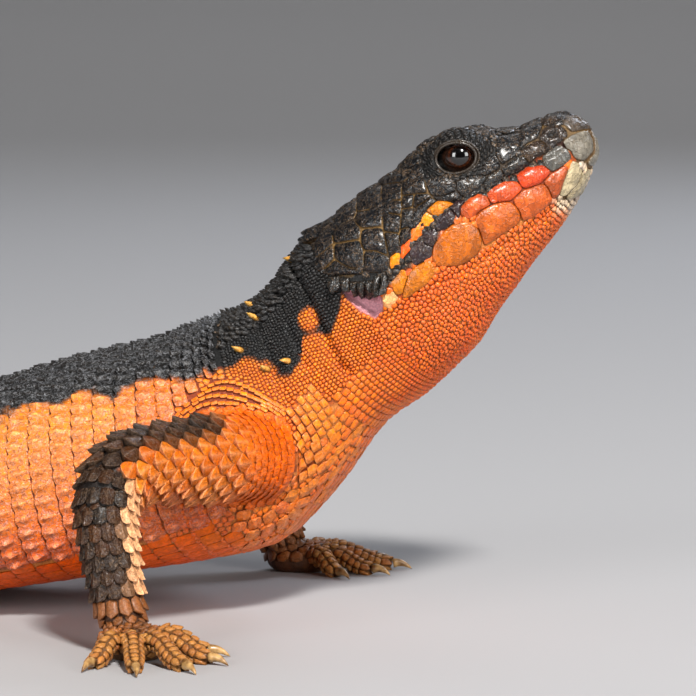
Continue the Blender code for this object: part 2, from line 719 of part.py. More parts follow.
def leg_length(name, leg, start, end, material, open_start=False):
    """The upper or lower length of a leg, ringed by rows of keeled, pointed scutes."""
    count = max(2, round((end - start) * leg.length / LEG_WHORL))
    edges = np.linspace(start, end, count + 1)
    keel = np.arange(LEG_SIDES) % 2
    gap = GAP / 2 * leg.frame(start)[1]
    rings = []
    for number in range(count):
        root, last = edges[number], edges[number + 1]
        turn = (np.arange(LEG_SIDES) + number) % 2
        size = 0.35 if open_start and number < 2 else 1.0
        rings.append(leg.ring(root))
        rings.append(leg.ring(last - 0.1 * (last - root), size * (0.25 + 0.65 * keel), size * 1.2 * keel))
        keel = turn
    rings.append(leg.ring(end) - GAP / 2 * leg.frame(end)[1])
    rings[0] = rings[0] if open_start else rings[0] + gap
    if len(rings) > 2:
        rings[-2] = leg.ring(edges[-1] - 0.35 / leg.length * 2, 0.25)
    return loft(name, [sway(r) for r in rings], material)


def clear_body(start, end):
    """The smooth trunk grown by the gap, to cut the legs' roots to it."""
    rings = []
    for place in np.linspace(start, end, 22):
        points = ring(place, HEAD_SHARES)
        rings.append(sway(points + outward(points) * (GAP + 0.06)))
    return loft("clear_body", rings, None)


def clear_leg(leg):
    """The lower leg grown by the gap and its scutes, to keep the foot clear of it."""
    shares = np.linspace(leg.knee + 0.1, 1.0, 6)
    rings = [leg.ring(share, lift=GAP + 1.0, sides=12) for share in shares]
    rings[-1] = rings[-1] + leg.frame(1.0)[1] * GAP / 2
    return loft("clear_leg", rings, None)


def tube(name, path, radii, sides, flat_end=True, material=None, widths=None):
    """A closed tube along a path; its end is flat, or drawn to a point."""
    path = np.asarray(path, float)
    rings = []
    for number, centre in enumerate(path):
        first, last = path[max(number - 1, 0)], path[min(number + 1, len(path) - 1)]
        ahead = unit(last - first)
        across = unit(np.cross(ahead, [0.0, 0.0, 1.0]))
        rise = np.cross(across, ahead)
        angle = 2 * np.pi * (np.arange(sides) + 0.5) / sides
        wide = radii[number] * (widths[number] if widths is not None else 1.0)
        rings.append(
            centre + np.cos(angle)[:, None] * across * wide + np.sin(angle)[:, None] * rise * radii[number]
        )
    if flat_end:
        return loft(name, rings, material)
    return loft(name, rings[:-1], material, tip=path[-1])


def toe_path(root, angle, length):
    """A toe's middle line: it rises to the knuckle and comes down to the floor."""
    ahead = np.array([np.cos(angle), np.sin(angle), 0.0])
    shares = (0.0, 0.30, 0.48, 0.66, 0.84, 1.0)
    heights = (2.2, 2.9, 2.6, 1.6, 0.95, 0.98)
    return [root + ahead * length * share + np.array([0.0, 0.0, z]) for share, z in zip(shares, heights)]


def build_foot(name, leg, heading_deg, side, toes, pad, materials):
    """A hand or foot: wrist, palm and five toes in one body, and a claw at each toe."""
    wrist, ahead, _, _ = leg.frame(1.0)
    heading = np.radians(heading_deg)
    forward = np.array([np.cos(heading), np.sin(heading), 0.0])
    middle = np.array([wrist[0], wrist[1], 0.0]) + forward * pad[0] * 0.8
    ring_at_wrist = leg.ring(1.0, sides=12) + ahead * GAP / 2
    down = wrist + ahead * 2.2 + forward * 0.6
    narrow = (leg.ring(1.0, sides=12) - wrist) * 0.86
    sole_z = np.array([0.0, 0.0, pad[2] * 0.62])
    stub = loft(name, [ring_at_wrist, narrow + down, narrow * 0.55 + middle * 0.5 + down * 0.5], materials["leg"])
    palm = ball("palm", (0, 0, 0), 1.0, 12, 8)
    turn = np.array([[np.cos(heading), -np.sin(heading)], [np.sin(heading), np.cos(heading)]])
    for vertex in palm.data.vertices:
        local = np.array(vertex.co) / MM * np.array(pad)
        flat = turn @ local[:2] + middle[:2]
        vertex.co = (flat[0] * MM, flat[1] * MM, (local[2] + sole_z[2]) * MM)
    pieces, claws = [palm], []
    for number, (spread, length) in enumerate(toes, 1):
        angle = heading - side * np.radians(spread)
        aside = np.array([-np.sin(heading), np.cos(heading), 0.0])
        reach = pad[0] * (0.62 - 0.30 * abs(np.sin(np.radians(spread))))
        root = middle + forward * reach * np.cos(np.radians(spread) * 0.6)
        root = root - side * aside * pad[1] * 0.86 * np.sin(np.radians(spread))
        path = toe_path(root - 0.8 * np.array([np.cos(angle), np.sin(angle), 0.0]), angle, length)
        radii = [TOE_RADIUS * share for share in (1.1, 1.0, 0.88, 0.95, 0.84, 0.6)]
        pieces.append(tube("toe", path, radii, TOE_SIDES))
        claws.append(build_claw(f"claw_{name}_{number}", path[-1], angle, materials["claw"]))
    apply_boolean(stub, pieces, "UNION", "MANIFOLD")
    floor = slab("floor", middle, 60.0, -20.0, 0.0)
    apply_boolean(stub, [floor, clear_leg(leg)], "DIFFERENCE", "MANIFOLD")
    return [stub, *claws]


def build_claw(name, root, angle, material):
    """A claw curving down to the floor, its root face to face with the toe's end."""
    ahead = np.array([np.cos(angle), np.sin(angle), 0.0])
    start = root + ahead * GAP + np.array([0.0, 0.0, -0.02])
    path = []
    for share in (0.0, 0.35, 0.7, 1.0):
        drop = 0.92 * share**2.0 - 0.18 * np.sin(np.pi * share)
        path.append(start + ahead * CLAW_LENGTH * share - np.array([0.0, 0.0, drop]))
    radii = [0.72, 0.56, 0.33, 0.1]
    return tube(name, path, radii, 6, flat_end=False, material=material, widths=[0.85] * 4)


def build_legs(materials):
    nodes = []
    plans = (
        ("foreleg_right", RIGHT_FORELEG, FORELEG_RADII, FORELEG_BEND, -48.0, -1.0, HAND_TOES, PALM),
        ("foreleg_left", LEFT_FORELEG, FORELEG_RADII, FORELEG_BEND, 16.0, 1.0, HAND_TOES, PALM),
        ("hindleg_right", RIGHT_HINDLEG, HINDLEG_RADII, HINDLEG_BEND, -42.0, -1.0, FOOT_TOES, SOLE),
        ("hindleg_left", LEFT_HINDLEG, HINDLEG_RADII, HINDLEG_BEND, 48.0, 1.0, FOOT_TOES, SOLE),
    )
    for word, joints, radii, bend, heading, side, toes, pad in plans:
        fore = word.startswith("fore")
        leg = Leg(joints, radii, bend)
        material = materials["leg"]
        upper = leg_length(("upper_arm_" if fore else "thigh_") + word.split("_")[1], leg, 0.0, leg.knee, material, True)
        body = clear_body(along_at_top(9.0 if fore else -50.0), along_at_top(-30.0 if fore else -96.0))
        apply_boolean(upper, [body], "DIFFERENCE")
        lower_name = ("forearm_" if fore else "shin_") + word.split("_")[1]
        lower = leg_length(lower_name, leg, leg.knee, 1.0, material)
        foot_name = ("hand_" if fore else "foot_") + word.split("_")[1]
        foot = build_foot(foot_name, leg, heading, side, toes, pad, materials)
        if not fore:
            for piece in foot:
                bend_object(piece)
        nodes += [upper, lower, *foot]
    return nodes


def bend_object(obj):
    points = np.array([v.co for v in obj.data.vertices]) / MM
    for vertex, place in zip(obj.data.vertices, sway(points)):
        vertex.co = place * MM


def stand_at_origin(nodes):
    """Moves the whole animal so that the floor under the middle of its box is the origin."""
    points = np.vstack([[v.co for v in n.data.vertices] for n in nodes])
    low, high = points.min(axis=0), points.max(axis=0)
    shift = -(low + high) / 2
    for node in nodes:
        for vertex in node.data.vertices:
            vertex.co.x += shift[0]
            vertex.co.y += shift[1]


def finish_node(node):
    form = bmesh.new()
    form.from_mesh(node.data)
    bmesh.ops.recalc_face_normals(form, faces=form.faces)
    form.to_mesh(node.data)
    form.free()
    node.data.shade_smooth()
    node.data.set_sharp_from_angle(angle=np.radians(32.0))


def main():
    clear_scene()
    dark = make_material("dark skin", DARK)
    orange = make_material("orange skin", ORANGE)
    brown = make_material("brown skin", BROWN)
    materials = {
        "head": dark,
        "lower_jaw": orange,
        "neck": orange,
        "torso": orange,
        "tail": brown,
        "leg": brown,
        "claw": make_material("horn", HORN),
        "eye": make_material("eye", EYE_BROWN),
    }
    nodes = build_trunk(materials) + build_eyes(materials["eye"]) + build_legs(materials)
    for node in nodes:
        on_floor(node)
        finish_node(node)
    stand_at_origin(nodes)


main()
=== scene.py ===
# %% [markdown]
# # A girdled lizard, life size
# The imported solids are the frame: they say where head, trunk, legs and tail are, and how big.
# On a real lizard one skin runs over all of these, and horny scales grow from the skin. So this
# scene first makes one skin through all the solids of flesh, and then grows each scale on it as a
# small closed plate of its own. Eyes and claws stay pieces of their own.

import json
from types import SimpleNamespace

import bmesh
import bpy
import numpy as np
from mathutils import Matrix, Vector, kdtree
from mathutils.bvhtree import BVHTree

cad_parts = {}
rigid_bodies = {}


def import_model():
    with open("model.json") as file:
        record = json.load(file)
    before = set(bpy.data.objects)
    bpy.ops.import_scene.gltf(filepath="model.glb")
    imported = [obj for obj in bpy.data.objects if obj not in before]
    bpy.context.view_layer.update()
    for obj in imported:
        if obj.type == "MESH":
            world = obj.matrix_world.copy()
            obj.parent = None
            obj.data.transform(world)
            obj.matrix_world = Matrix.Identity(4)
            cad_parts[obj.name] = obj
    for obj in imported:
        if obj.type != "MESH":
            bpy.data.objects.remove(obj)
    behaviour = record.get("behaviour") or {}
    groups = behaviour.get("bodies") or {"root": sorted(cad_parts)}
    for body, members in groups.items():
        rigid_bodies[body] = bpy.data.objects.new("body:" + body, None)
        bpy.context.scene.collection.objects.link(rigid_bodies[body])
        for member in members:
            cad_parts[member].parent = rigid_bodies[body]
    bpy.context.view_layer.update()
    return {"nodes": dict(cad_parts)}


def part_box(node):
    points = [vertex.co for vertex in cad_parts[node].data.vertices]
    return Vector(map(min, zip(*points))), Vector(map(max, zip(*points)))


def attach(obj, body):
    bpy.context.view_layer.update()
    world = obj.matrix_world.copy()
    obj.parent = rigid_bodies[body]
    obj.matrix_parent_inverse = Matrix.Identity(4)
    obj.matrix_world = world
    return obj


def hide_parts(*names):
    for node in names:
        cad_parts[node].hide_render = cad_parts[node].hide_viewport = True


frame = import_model()
MM = 0.001
print("frame:", len(frame["nodes"]), "nodes")

# %% [markdown]
# ## The driving shape
# The animal is drawn as cross-sections from the snout to the tail tip, the same as its solids.
# A section could be an ellipse, but a lizard's belly is flatter and its crown squarer than that,
# so each section has its own power above and below its widest place. Lengths are millimetres.

# %% Cross-sections and named places
SECTIONS = (
    # top x, top z, low x, low z, half width, power above, power below, widest at
    (47.9, 69.3, 49.5, 64.9, 3.0, 2.3, 2.3, 0.50),
    (45.5, 70.5, 48.9, 63.5, 4.4, 2.6, 2.3, 0.50),
    (42.0, 70.0, 47.4, 60.2, 5.8, 2.9, 2.3, 0.52),
    (38.5, 68.6, 45.4, 56.8, 7.5, 3.3, 2.3, 0.54),
    (33.6, 68.2, 42.5, 52.8, 9.6, 4.2, 2.3, 0.52),
    (29.3, 68.2, 40.2, 49.9, 11.3, 4.2, 2.2, 0.50),
    (25.6, 66.4, 38.1, 46.9, 12.7, 3.3, 2.2, 0.50),
    (21.3, 62.6, 35.5, 43.3, 13.8, 2.7, 2.1, 0.50),
    (15.8, 58.8, 32.6, 38.6, 14.5, 2.6, 2.1, 0.52),
    (11.4, 55.2, 29.5, 35.4, 14.3, 2.5, 2.1, 0.54),
    (7.4, 51.2, 25.6, 31.6, 13.3, 2.3, 2.1, 0.54),
    (3.6, 46.1, 19.6, 27.2, 13.4, 2.1, 2.1, 0.50),
    (-0.8, 42.8, 12.8, 18.1, 15.6, 2.1, 2.2, 0.46),
    (-7.4, 40.6, 4.4, 9.9, 18.6, 2.1, 2.4, 0.44),
    (-13.2, 38.3, -4.5, 7.5, 20.4, 2.1, 2.5, 0.43),
    (-20.6, 36.4, -13.3, 6.0, 21.8, 2.1, 2.6, 0.42),
    (-28.2, 34.4, -21.8, 4.6, 22.9, 2.1, 2.6, 0.42),
    (-36.3, 31.8, -31.5, 3.0, 23.6, 2.1, 2.6, 0.42),
    (-45.0, 28.9, -42.0, 1.2, 24.0, 2.1, 2.6, 0.42),
    (-54.0, 26.2, -53.0, -0.3, 23.6, 2.1, 2.6, 0.42),
    (-63.0, 23.9, -63.0, -0.8, 22.2, 2.1, 2.6, 0.42),
    (-72.0, 21.9, -72.0, -0.8, 19.4, 2.1, 2.6, 0.43),
    (-80.0, 19.7, -80.0, -0.6, 15.8, 2.1, 2.6, 0.44),
    (-88.0, 17.3, -88.0, -0.5, 12.6, 2.1, 2.5, 0.45),
    (-96.0, 15.2, -96.0, -0.5, 10.6, 2.1, 2.4, 0.46),
    (-106.0, 13.4, -106.0, -0.5, 9.4, 2.1, 2.4, 0.46),
    (-120.0, 11.8, -120.0, -0.5, 8.4, 2.1, 2.4, 0.46),
    (-140.0, 10.1, -140.0, -0.4, 7.2, 2.1, 2.4, 0.46),
    (-165.0, 8.2, -165.0, -0.4, 5.8, 2.1, 2.4, 0.46),
    (-190.0, 6.5, -190.0, -0.3, 4.5, 2.1, 2.4, 0.46),
    (-215.0, 4.9, -215.0, -0.2, 3.3, 2.1, 2.3, 0.46),
    (-238.0, 3.4, -238.0, -0.1, 2.2, 2.0, 2.2, 0.46),
    (-253.0, 2.3, -253.0, 0.0, 1.4, 2.0, 2.0, 0.46),
)
SWAY_START, HIP_SWAY_DEG, HIP_SWAY_LENGTH = -30.0, 9.0, 110.0
TAIL_SWAY_DEG, TAIL_SWAY_LENGTH = 27.0, 132.0
EYE = np.array((31.4, 7.4, 64.7))
EYE_RADIUS, LID_RADIUS = 3.2, 4.15
EYE_OPENING, LID_TILT = (2.75, 2.05), np.radians(8.0)
NOSTRIL = (43.9, 67.7)
EAR = np.array((19.7, 45.0))
EAR_CORNERS = np.array(((15.9, 47.2), (21.6, 47.2), (22.2, 43.9), (20.9, 42.5), (18.6, 43.6), (16.7, 45.2)))
RIGHT_FORELEG = ((5.0, -11.0, 23.4), (-11.6, -39.3, 24.2), (-8.4, -41.0, 7.2))
LEFT_FORELEG = ((5.0, 11.0, 23.0), (-16.0, 40.5, 19.5), (-5.5, 37.0, 6.4))
RIGHT_HINDLEG = ((-72.0, -9.0, 11.0), (-55.0, -38.0, 14.5), (-77.0, -50.0, 6.0))
LEFT_HINDLEG = ((-74.0, 9.0, 11.0), (-63.0, 39.5, 14.0), (-88.0, 49.0, 6.0))
FORELEG_RADII, FORELEG_BEND = (6.6, 4.8, 4.0, 3.4), 9.0
HINDLEG_RADII, HINDLEG_BEND = (7.4, 4.8, 4.6, 3.2), 8.0
HAND_TOES = ((58.0, 7.0), (28.0, 9.6), (2.0, 11.2), (-24.0, 11.0), (-54.0, 8.0))
FOOT_TOES = ((52.0, 7.0), (28.0, 10.0), (8.0, 13.0), (-12.0, 15.0), (-48.0, 10.0))
PALM, SOLE, PALM_LIFT = (5.6, 4.5, 2.7), (7.6, 4.8, 2.9), 0.62
TOE_RADIUS, CLAW_LENGTH, GAP = 1.35, 2.7, 0.3

eye_low, eye_high = (np.array(corner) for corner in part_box("eye_left"))
SHIFT = (eye_low + eye_high) / 2 / MM - EYE  # from the drawing's own origin to the frame's
print("drawing to frame, mm:", np.round(SHIFT, 2))

# %% Small helpers for numbers
def unit(v):
    v = np.asarray(v, float)
    return v / np.maximum(np.linalg.norm(v, axis=-1, keepdims=True), 1e-9)


def dot(a, b):
    return np.sum(np.asarray(a) * np.asarray(b), axis=-1)


def smooth_step(low, high, value):
    share = np.clip((np.asarray(value, float) - low) / (high - low), 0.0, 1.0)
    return share * share * (3.0 - 2.0 * share)


def chance(cells, salt):
    """A number from 0 to 1 for each cell of a grid, the same on every run."""
    mixed = np.sin(cells @ np.array([12.9898, 78.233, 37.719]) + salt * 4.1414) * 43758.5453
    return mixed - np.floor(mixed)


def reach_to(corners, direction):
    """How far it is from the origin to the outline through these corners, along each direction."""
    start, edge = corners, np.roll(corners, -1, axis=0) - corners
    det = direction[:, None, 0] * edge[None, :, 1] - direction[:, None, 1] * edge[None, :, 0]
    det = np.where(np.abs(det) < 1e-9, 1e-9, det)
    far = (start[:, 0] * edge[:, 1] - start[:, 1] * edge[:, 0])[None] / det
    share = (start[None, :, 0] * direction[:, None, 1] - start[None, :, 1] * direction[:, None, 0]) / det
    inside = (share > -1e-6) & (share < 1 + 1e-6) & (far > 0)
    return np.min(np.where(inside, far, 1e3), axis=1)


def ear_share(points):
    """0 in the middle of the ear's opening and 1 at its rim, for points seen from the side."""
    flat = np.asarray(points)[:, [0, 2]] - EAR
    return np.linalg.norm(flat, axis=1) / reach_to(EAR_CORNERS - EAR, unit(flat))


def nostril_share(points):
    """1 in the middle of the nostrils' pits and 0 outside them."""
    off = np.hypot((points[..., 0] - NOSTRIL[0]) / 0.62, (points[..., 2] - NOSTRIL[1]) / 0.42)
    return (1 - smooth_step(0.6, 1.3, off)) * (np.abs(points[..., 1]) > 1.0)


def mottle(points, size, salt=0):
    """Soft noise from -1 to 1 whose blotches are about size across."""
    at = np.asarray(points, float) / size
    cell = np.floor(at)
    within = at - cell
    blend = within * within * (3 - 2 * within)
    total = np.zeros(len(at))
    for corner in np.ndindex(2, 2, 2):
        step = np.array(corner)
        share = np.prod(np.where(step == 1, blend, 1 - blend), axis=1)
        total += share * chance(cell + step, salt)
    return total * 2 - 1


# %% Lines and curves
def walk_along(points):
    """How far along a line each of its points lies."""
    return np.concatenate([[0.0], np.cumsum(np.linalg.norm(np.diff(points, axis=0), axis=1))])


def read_line(at, walk, points):
    """A line's points at places along it; walk says where its own points lie."""
    return np.stack([np.interp(at, walk, column) for column in np.transpose(points)], axis=-1)


def smooth_line(knots, values, at):
    """A smooth curve through values at their knots, read at other places."""
    step = np.diff(knots)[:, None]
    rise = np.diff(values, axis=0) / step
    middle = (rise[:-1] * step[1:] + rise[1:] * step[:-1]) / (step[:-1] + step[1:])
    slope = np.vstack([rise[:1], middle, rise[-1:]])
    i = np.clip(np.searchsorted(knots, at) - 1, 0, len(knots) - 2)
    span = (knots[i + 1] - knots[i])[:, None]
    t = (at - knots[i])[:, None] / span
    return (
        values[i] * (2 * t**3 - 3 * t**2 + 1)
        + slope[i] * span * (t**3 - 2 * t**2 + t)
        + values[i + 1] * (3 * t**2 - 2 * t**3)
        + slope[i + 1] * span * (t**3 - t**2)
    )


# %% The body's surface as a formula
TABLE = np.array(SECTIONS)
ALONG = walk_along((TABLE[:, 0:2] + TABLE[:, 2:4]) / 2)
ANGLES = np.linspace(0.0, np.pi, 181)
GRID_STEP = 0.5
GRID_ALONG = np.arange(0.0, ALONG[-1], GRID_STEP)
GRID_SHARES = np.linspace(0.0, 1.0, 81)
GRID_TABLE = smooth_line(ALONG, TABLE, GRID_ALONG)


def half_sections(table):
    """Points of the left half of each section, evenly spread from its top down, and its length."""
    top_x, top_z, low_x, low_z, width, above, below, widest = (column[:, None] for column in table.T)
    power = np.where(ANGLES < np.pi / 2, 2 / above, 2 / below)
    side = width * np.abs(np.sin(ANGLES)) ** power
    rise = np.sign(np.cos(ANGLES)) * np.abs(np.cos(ANGLES)) ** power
    height = widest + rise * np.where(rise > 0, 1 - widest, widest)
    points = np.stack(
        [low_x + height * (top_x - low_x), side, low_z + height * (top_z - low_z)], axis=2
    )
    girth = np.cumsum(np.linalg.norm(np.diff(points, axis=1, prepend=points[:, :1]), axis=2), axis=1)
    made = np.stack([read_line(GRID_SHARES * far[-1], far, line) for far, line in zip(girth, points)])
    return made, girth[:, -1]


GRID, HALF_GIRTH = half_sections(GRID_TABLE)


def straight_point(along, share, side):
    """Points of the unbent body; side is 1 on the left and -1 on the right."""
    a = np.clip(np.asarray(along, float) / GRID_STEP, 0, len(GRID_ALONG) - 1.001)
    f = np.clip(np.asarray(share, float), 0.0, 0.9999) * (len(GRID_SHARES) - 1)
    i, j = a.astype(int), f.astype(int)
    u, v = (a - i)[:, None], (f - j)[:, None]
    left = (GRID[i, j] * (1 - u) + GRID[i + 1, j] * u) * (1 - v)
    left = left + (GRID[i, j + 1] * (1 - u) + GRID[i + 1, j + 1] * u) * v
    return left * np.stack([np.ones(len(left)), np.broadcast_to(side, len(left)), np.ones(len(left))], axis=1)


back_steps = np.arange(0.0, 260.0, 1.0)
hip_part = np.radians(HIP_SWAY_DEG) * np.sin(np.pi * back_steps / HIP_SWAY_LENGTH)
tail_part = -np.radians(TAIL_SWAY_DEG) * np.sin(np.pi * (back_steps - HIP_SWAY_LENGTH) / TAIL_SWAY_LENGTH)
PLAN_HEADING = np.where(back_steps < HIP_SWAY_LENGTH, hip_part, tail_part)
PLAN_X = SWAY_START - np.concatenate([[0.0], np.cumsum(np.cos(PLAN_HEADING[:-1]))])
PLAN_Y = np.concatenate([[0.0], np.cumsum(np.sin(PLAN_HEADING[:-1]))])


def sway(points):
    """Bends the straight body to its plan curve; what lies ahead of SWAY_START stays."""
    points = np.array(points, float)
    back = SWAY_START - points[..., 0]
    heading = np.interp(back, back_steps, PLAN_HEADING)
    x = np.interp(back, back_steps, PLAN_X) + points[..., 1] * np.sin(heading)
    y = np.interp(back, back_steps, PLAN_Y) + points[..., 1] * np.cos(heading)
    points[..., 0] = np.where(back > 0, x, points[..., 0])
    points[..., 1] = np.where(back > 0, y, points[..., 1])
    return points


def body_at(along, share, side):
    """Points of the bent body with their outward normals and their backward directions."""
    along, share = np.broadcast_arrays(np.asarray(along, float), np.asarray(share, float))
    along, share = along.ravel(), np.clip(share.ravel(), 0.004, 0.996)
    side = np.broadcast_to(np.asarray(side, float), along.shape)
    here = sway(straight_point(along, share, side))
    back = unit(sway(straight_point(along + 0.6, share, side)) - here)
    down = unit(
        sway(straight_point(along, share + 0.004, side)) - sway(straight_point(along, share - 0.004, side))
    )
    return here, unit(np.cross(down, back) * side[:, None]), back


def along_at_top(x):
    """How far along the body the back reaches this x."""
    return float(np.interp(-x, -GRID_TABLE[:, 0], GRID_ALONG))


print("body length along its middle, mm:", round(float(ALONG[-1]), 1))

# %% [markdown]
# ## Legs and feet as formulas
# Each leg is a tube along a bent line, each toe a thin tube that rises to its knuckle and comes
# down to the floor. They repeat the solids' own joints, so skin and solids agree everywhere.

# %% Legs
LEG_STEPS = 200


class Leg:
    """The middle line of one leg, with its radius and the ring across it at any share."""

    def __init__(self, joints, radii, bend):
        root, knee, end = (np.array(p, float) for p in joints)
        before, after = unit(root - knee), unit(end - knee)
        t = np.linspace(0.0, 1.0, 21)[:, None]
        turn = (knee + before * bend) * (1 - t) ** 2 + knee * 2 * t * (1 - t) + (knee + after * bend) * t**2
        points = np.vstack([root, turn, end])
        far = walk_along(points)
        self.path = read_line(np.linspace(0.0, far[-1], LEG_STEPS + 1), far, points)
        self.length = float(far[-1])
        self.radii = radii
        self.hinge = unit(np.cross(knee - root, end - knee))
        self.knee = float(np.argmin(np.linalg.norm(self.path - knee, axis=1))) / LEG_STEPS

    def frame(self, share):
        place = np.clip(share, 0.0, 1.0) * LEG_STEPS
        low = int(np.clip(np.floor(place), 0, LEG_STEPS - 1))
        centre = self.path[low] + (self.path[low + 1] - self.path[low]) * (place - low)
        ahead = unit(self.path[min(low + 7, LEG_STEPS)] - self.path[max(low - 6, 0)])
        across = unit(self.hinge - (self.hinge @ ahead) * ahead)
        return centre, ahead, across, np.cross(ahead, across)

    def radius(self, share):
        places = (0.0, self.knee * 0.75, self.knee + (1 - self.knee) * 0.3, 1.0)
        return float(np.interp(share, places, self.radii))

    def bending(self, share):
        step = 0.03
        middle = np.clip(share, step, 1.0 - step)
        before, here, after = (self.frame(middle + step * k)[0] for k in (-1, 0, 1))
        return (before - 2 * here + after) / (step * self.length) ** 2

    def ring(self, share, angles, lift=0.0):
        """Points round the leg, with their normals and the direction towards the foot."""
        centre, ahead, across, rise = self.frame(share)
        spoke = np.cos(angles)[:, None] * across + np.sin(angles)[:, None] * rise
        reach = np.minimum(self.radius(share) + lift, 0.8 / np.maximum(spoke @ self.bending(share), 1e-3))
        return centre + spoke * reach[:, None], spoke, np.broadcast_to(ahead, spoke.shape)


# %% Hands and feet
TOE_SHARES = (0.0, 0.30, 0.48, 0.66, 0.84, 1.0)
TOE_HEIGHTS = (2.2, 2.9, 2.6, 1.6, 0.95, 0.98)
TOE_THICKNESS = (1.1, 1.0, 0.88, 0.95, 0.84, 0.6)
TOE_POINTS, CLAW_POINTS = 18, 9
UP = np.array([0.0, 0.0, 1.0])


def smooth_path(points, count):
    """A rounded line through a few points."""
    knots = walk_along(points)
    return smooth_line(knots, np.array(points), np.linspace(0.0, knots[-1], count))


class Foot:
    """A hand or foot on the floor: its palm, its toes' lines and lengths, and its claws' lines."""

    def __init__(self, leg, heading_deg, side, toes, pad):
        self.wrist, self.ahead, _, _ = leg.frame(1.0)
        heading, self.pad = np.radians(heading_deg), pad
        self.forward = forward = np.array([np.cos(heading), np.sin(heading), 0.0])
        self.aside = aside = np.array([-np.sin(heading), np.cos(heading), 0.0])
        self.middle = np.array([self.wrist[0], self.wrist[1], 0.0]) + forward * pad[0] * 0.8
        self.toes, self.claws = [], []
        for spread_deg, length in toes:
            spread = np.radians(spread_deg)
            angle = heading - side * spread
            reach = pad[0] * (0.62 - 0.30 * abs(np.sin(spread)))
            root = self.middle + forward * reach * np.cos(spread * 0.6)
            root = root - side * aside * pad[1] * 0.86 * np.sin(spread)
            ahead = np.array([np.cos(angle), np.sin(angle), 0.0])
            root = root - 0.8 * ahead
            line = [root + ahead * length * s + UP * z for s, z in zip(TOE_SHARES, TOE_HEIGHTS)]
            self.toes.append((smooth_path(line, TOE_POINTS), length))
            share = np.linspace(0.0, 1.0, CLAW_POINTS)[:, None]
            drop = 0.92 * share**2 - 0.18 * np.sin(np.pi * share)
            start = line[-1] + ahead * GAP * 0.2
            self.claws.append(start + ahead * (CLAW_LENGTH + 0.2) * share - UP * drop)


LIMBS = {}
for limb_name, joints, radii, bend, heading_deg, limb_side, toes, pad in (
    ("foreleg_right", RIGHT_FORELEG, FORELEG_RADII, FORELEG_BEND, -48.0, -1.0, HAND_TOES, PALM),
    ("foreleg_left", LEFT_FORELEG, FORELEG_RADII, FORELEG_BEND, 16.0, 1.0, HAND_TOES, PALM),
    ("hindleg_right", RIGHT_HINDLEG, HINDLEG_RADII, HINDLEG_BEND, -42.0, -1.0, FOOT_TOES, SOLE),
    ("hindleg_left", LEFT_HINDLEG, HINDLEG_RADII, HINDLEG_BEND, 48.0, 1.0, FOOT_TOES, SOLE),
):
    limb = Leg(joints, radii, bend)
    LIMBS[limb_name] = (limb, Foot(limb, heading_deg, limb_side, toes, pad), limb_side)
print("legs, mm:", {name: round(leg.length, 1) for name, (leg, _, _) in LIMBS.items()})

# %% [markdown]
# ## One skin
# A skin could be sculpted, or sewn from pieces. Here closed tubes and balls are laid through each
# other and Blender's voxel remesh melts them into one closed surface, which rounds each armpit
# and knuckle the way flesh does. It lies a little inside the solids, by the depth of a scale.

# %% Small helpers for meshes
def vertex_array(mesh):
    """A mesh's points in drawing millimetres."""
    flat = np.empty(len(mesh.vertices) * 3, np.float32)
    mesh.vertices.foreach_get("co", flat)
    return flat.reshape(-1, 3).astype(float) / MM - SHIFT


def set_points(mesh, points):
    mesh.vertices.foreach_set("co", ((points + SHIFT) * MM).astype(np.float32).ravel())


def smooth_faces(mesh):
    mesh.polygons.foreach_set("use_smooth", np.ones(len(mesh.polygons), bool))


def new_object(name, data):
    made = bpy.data.objects.new(name, data)
    bpy.context.scene.collection.objects.link(made)
    return made


def mesh_piece(name, points, faces):
    """A new object from points in drawing millimetres."""
    mesh = bpy.data.meshes.new(name)
    mesh.from_pydata(((np.asarray(points) + SHIFT) * MM).tolist(), [], [list(map(int, f)) for f in faces])
    form = bmesh.new()
    form.from_mesh(mesh)
    bmesh.ops.recalc_face_normals(form, faces=form.faces)
    form.to_mesh(mesh)
    form.free()
    return new_object(name, mesh)


def tube(name, rings, tips=(None, None)):
    """A closed tube through rings of equal count, with flat or pointed ends."""
    count = len(rings[0])
    points = np.vstack(rings)
    faces = []
    for r in range(len(rings) - 1):
        for j in range(count):
            k = (j + 1) % count
            faces.append((r * count + j, r * count + k, (r + 1) * count + k, (r + 1) * count + j))
    last = (len(rings) - 1) * count
    for tip, first in ((tips[0], 0), (tips[1], last)):
        if tip is None:
            faces.append(range(first, first + count))
        else:
            points = np.vstack([points, tip])
            faces += [(len(points) - 1, first + j, first + (j + 1) % count) for j in range(count)]
    return mesh_piece(name, points, faces)


def round_rings(path, radii, sides, flat=1.0):
    """Rings across a line, for toes and claws."""
    ahead = unit(np.gradient(np.asarray(path, float), axis=0))
    across = unit(np.cross(ahead, UP))
    rise = np.cross(across, ahead)
    angle = 2 * np.pi * (np.arange(sides) + 0.5) / sides
    rings = []
    for n, centre in enumerate(path):
        wide, high = radii[n] * flat, radii[n]
        rings.append(
            centre + np.cos(angle)[:, None] * across[n] * wide + np.sin(angle)[:, None] * rise[n] * high
        )
    return rings


def toe_radii(count):
    return TOE_RADIUS * np.interp(np.linspace(0, 1, count), TOE_SHARES, TOE_THICKNESS)


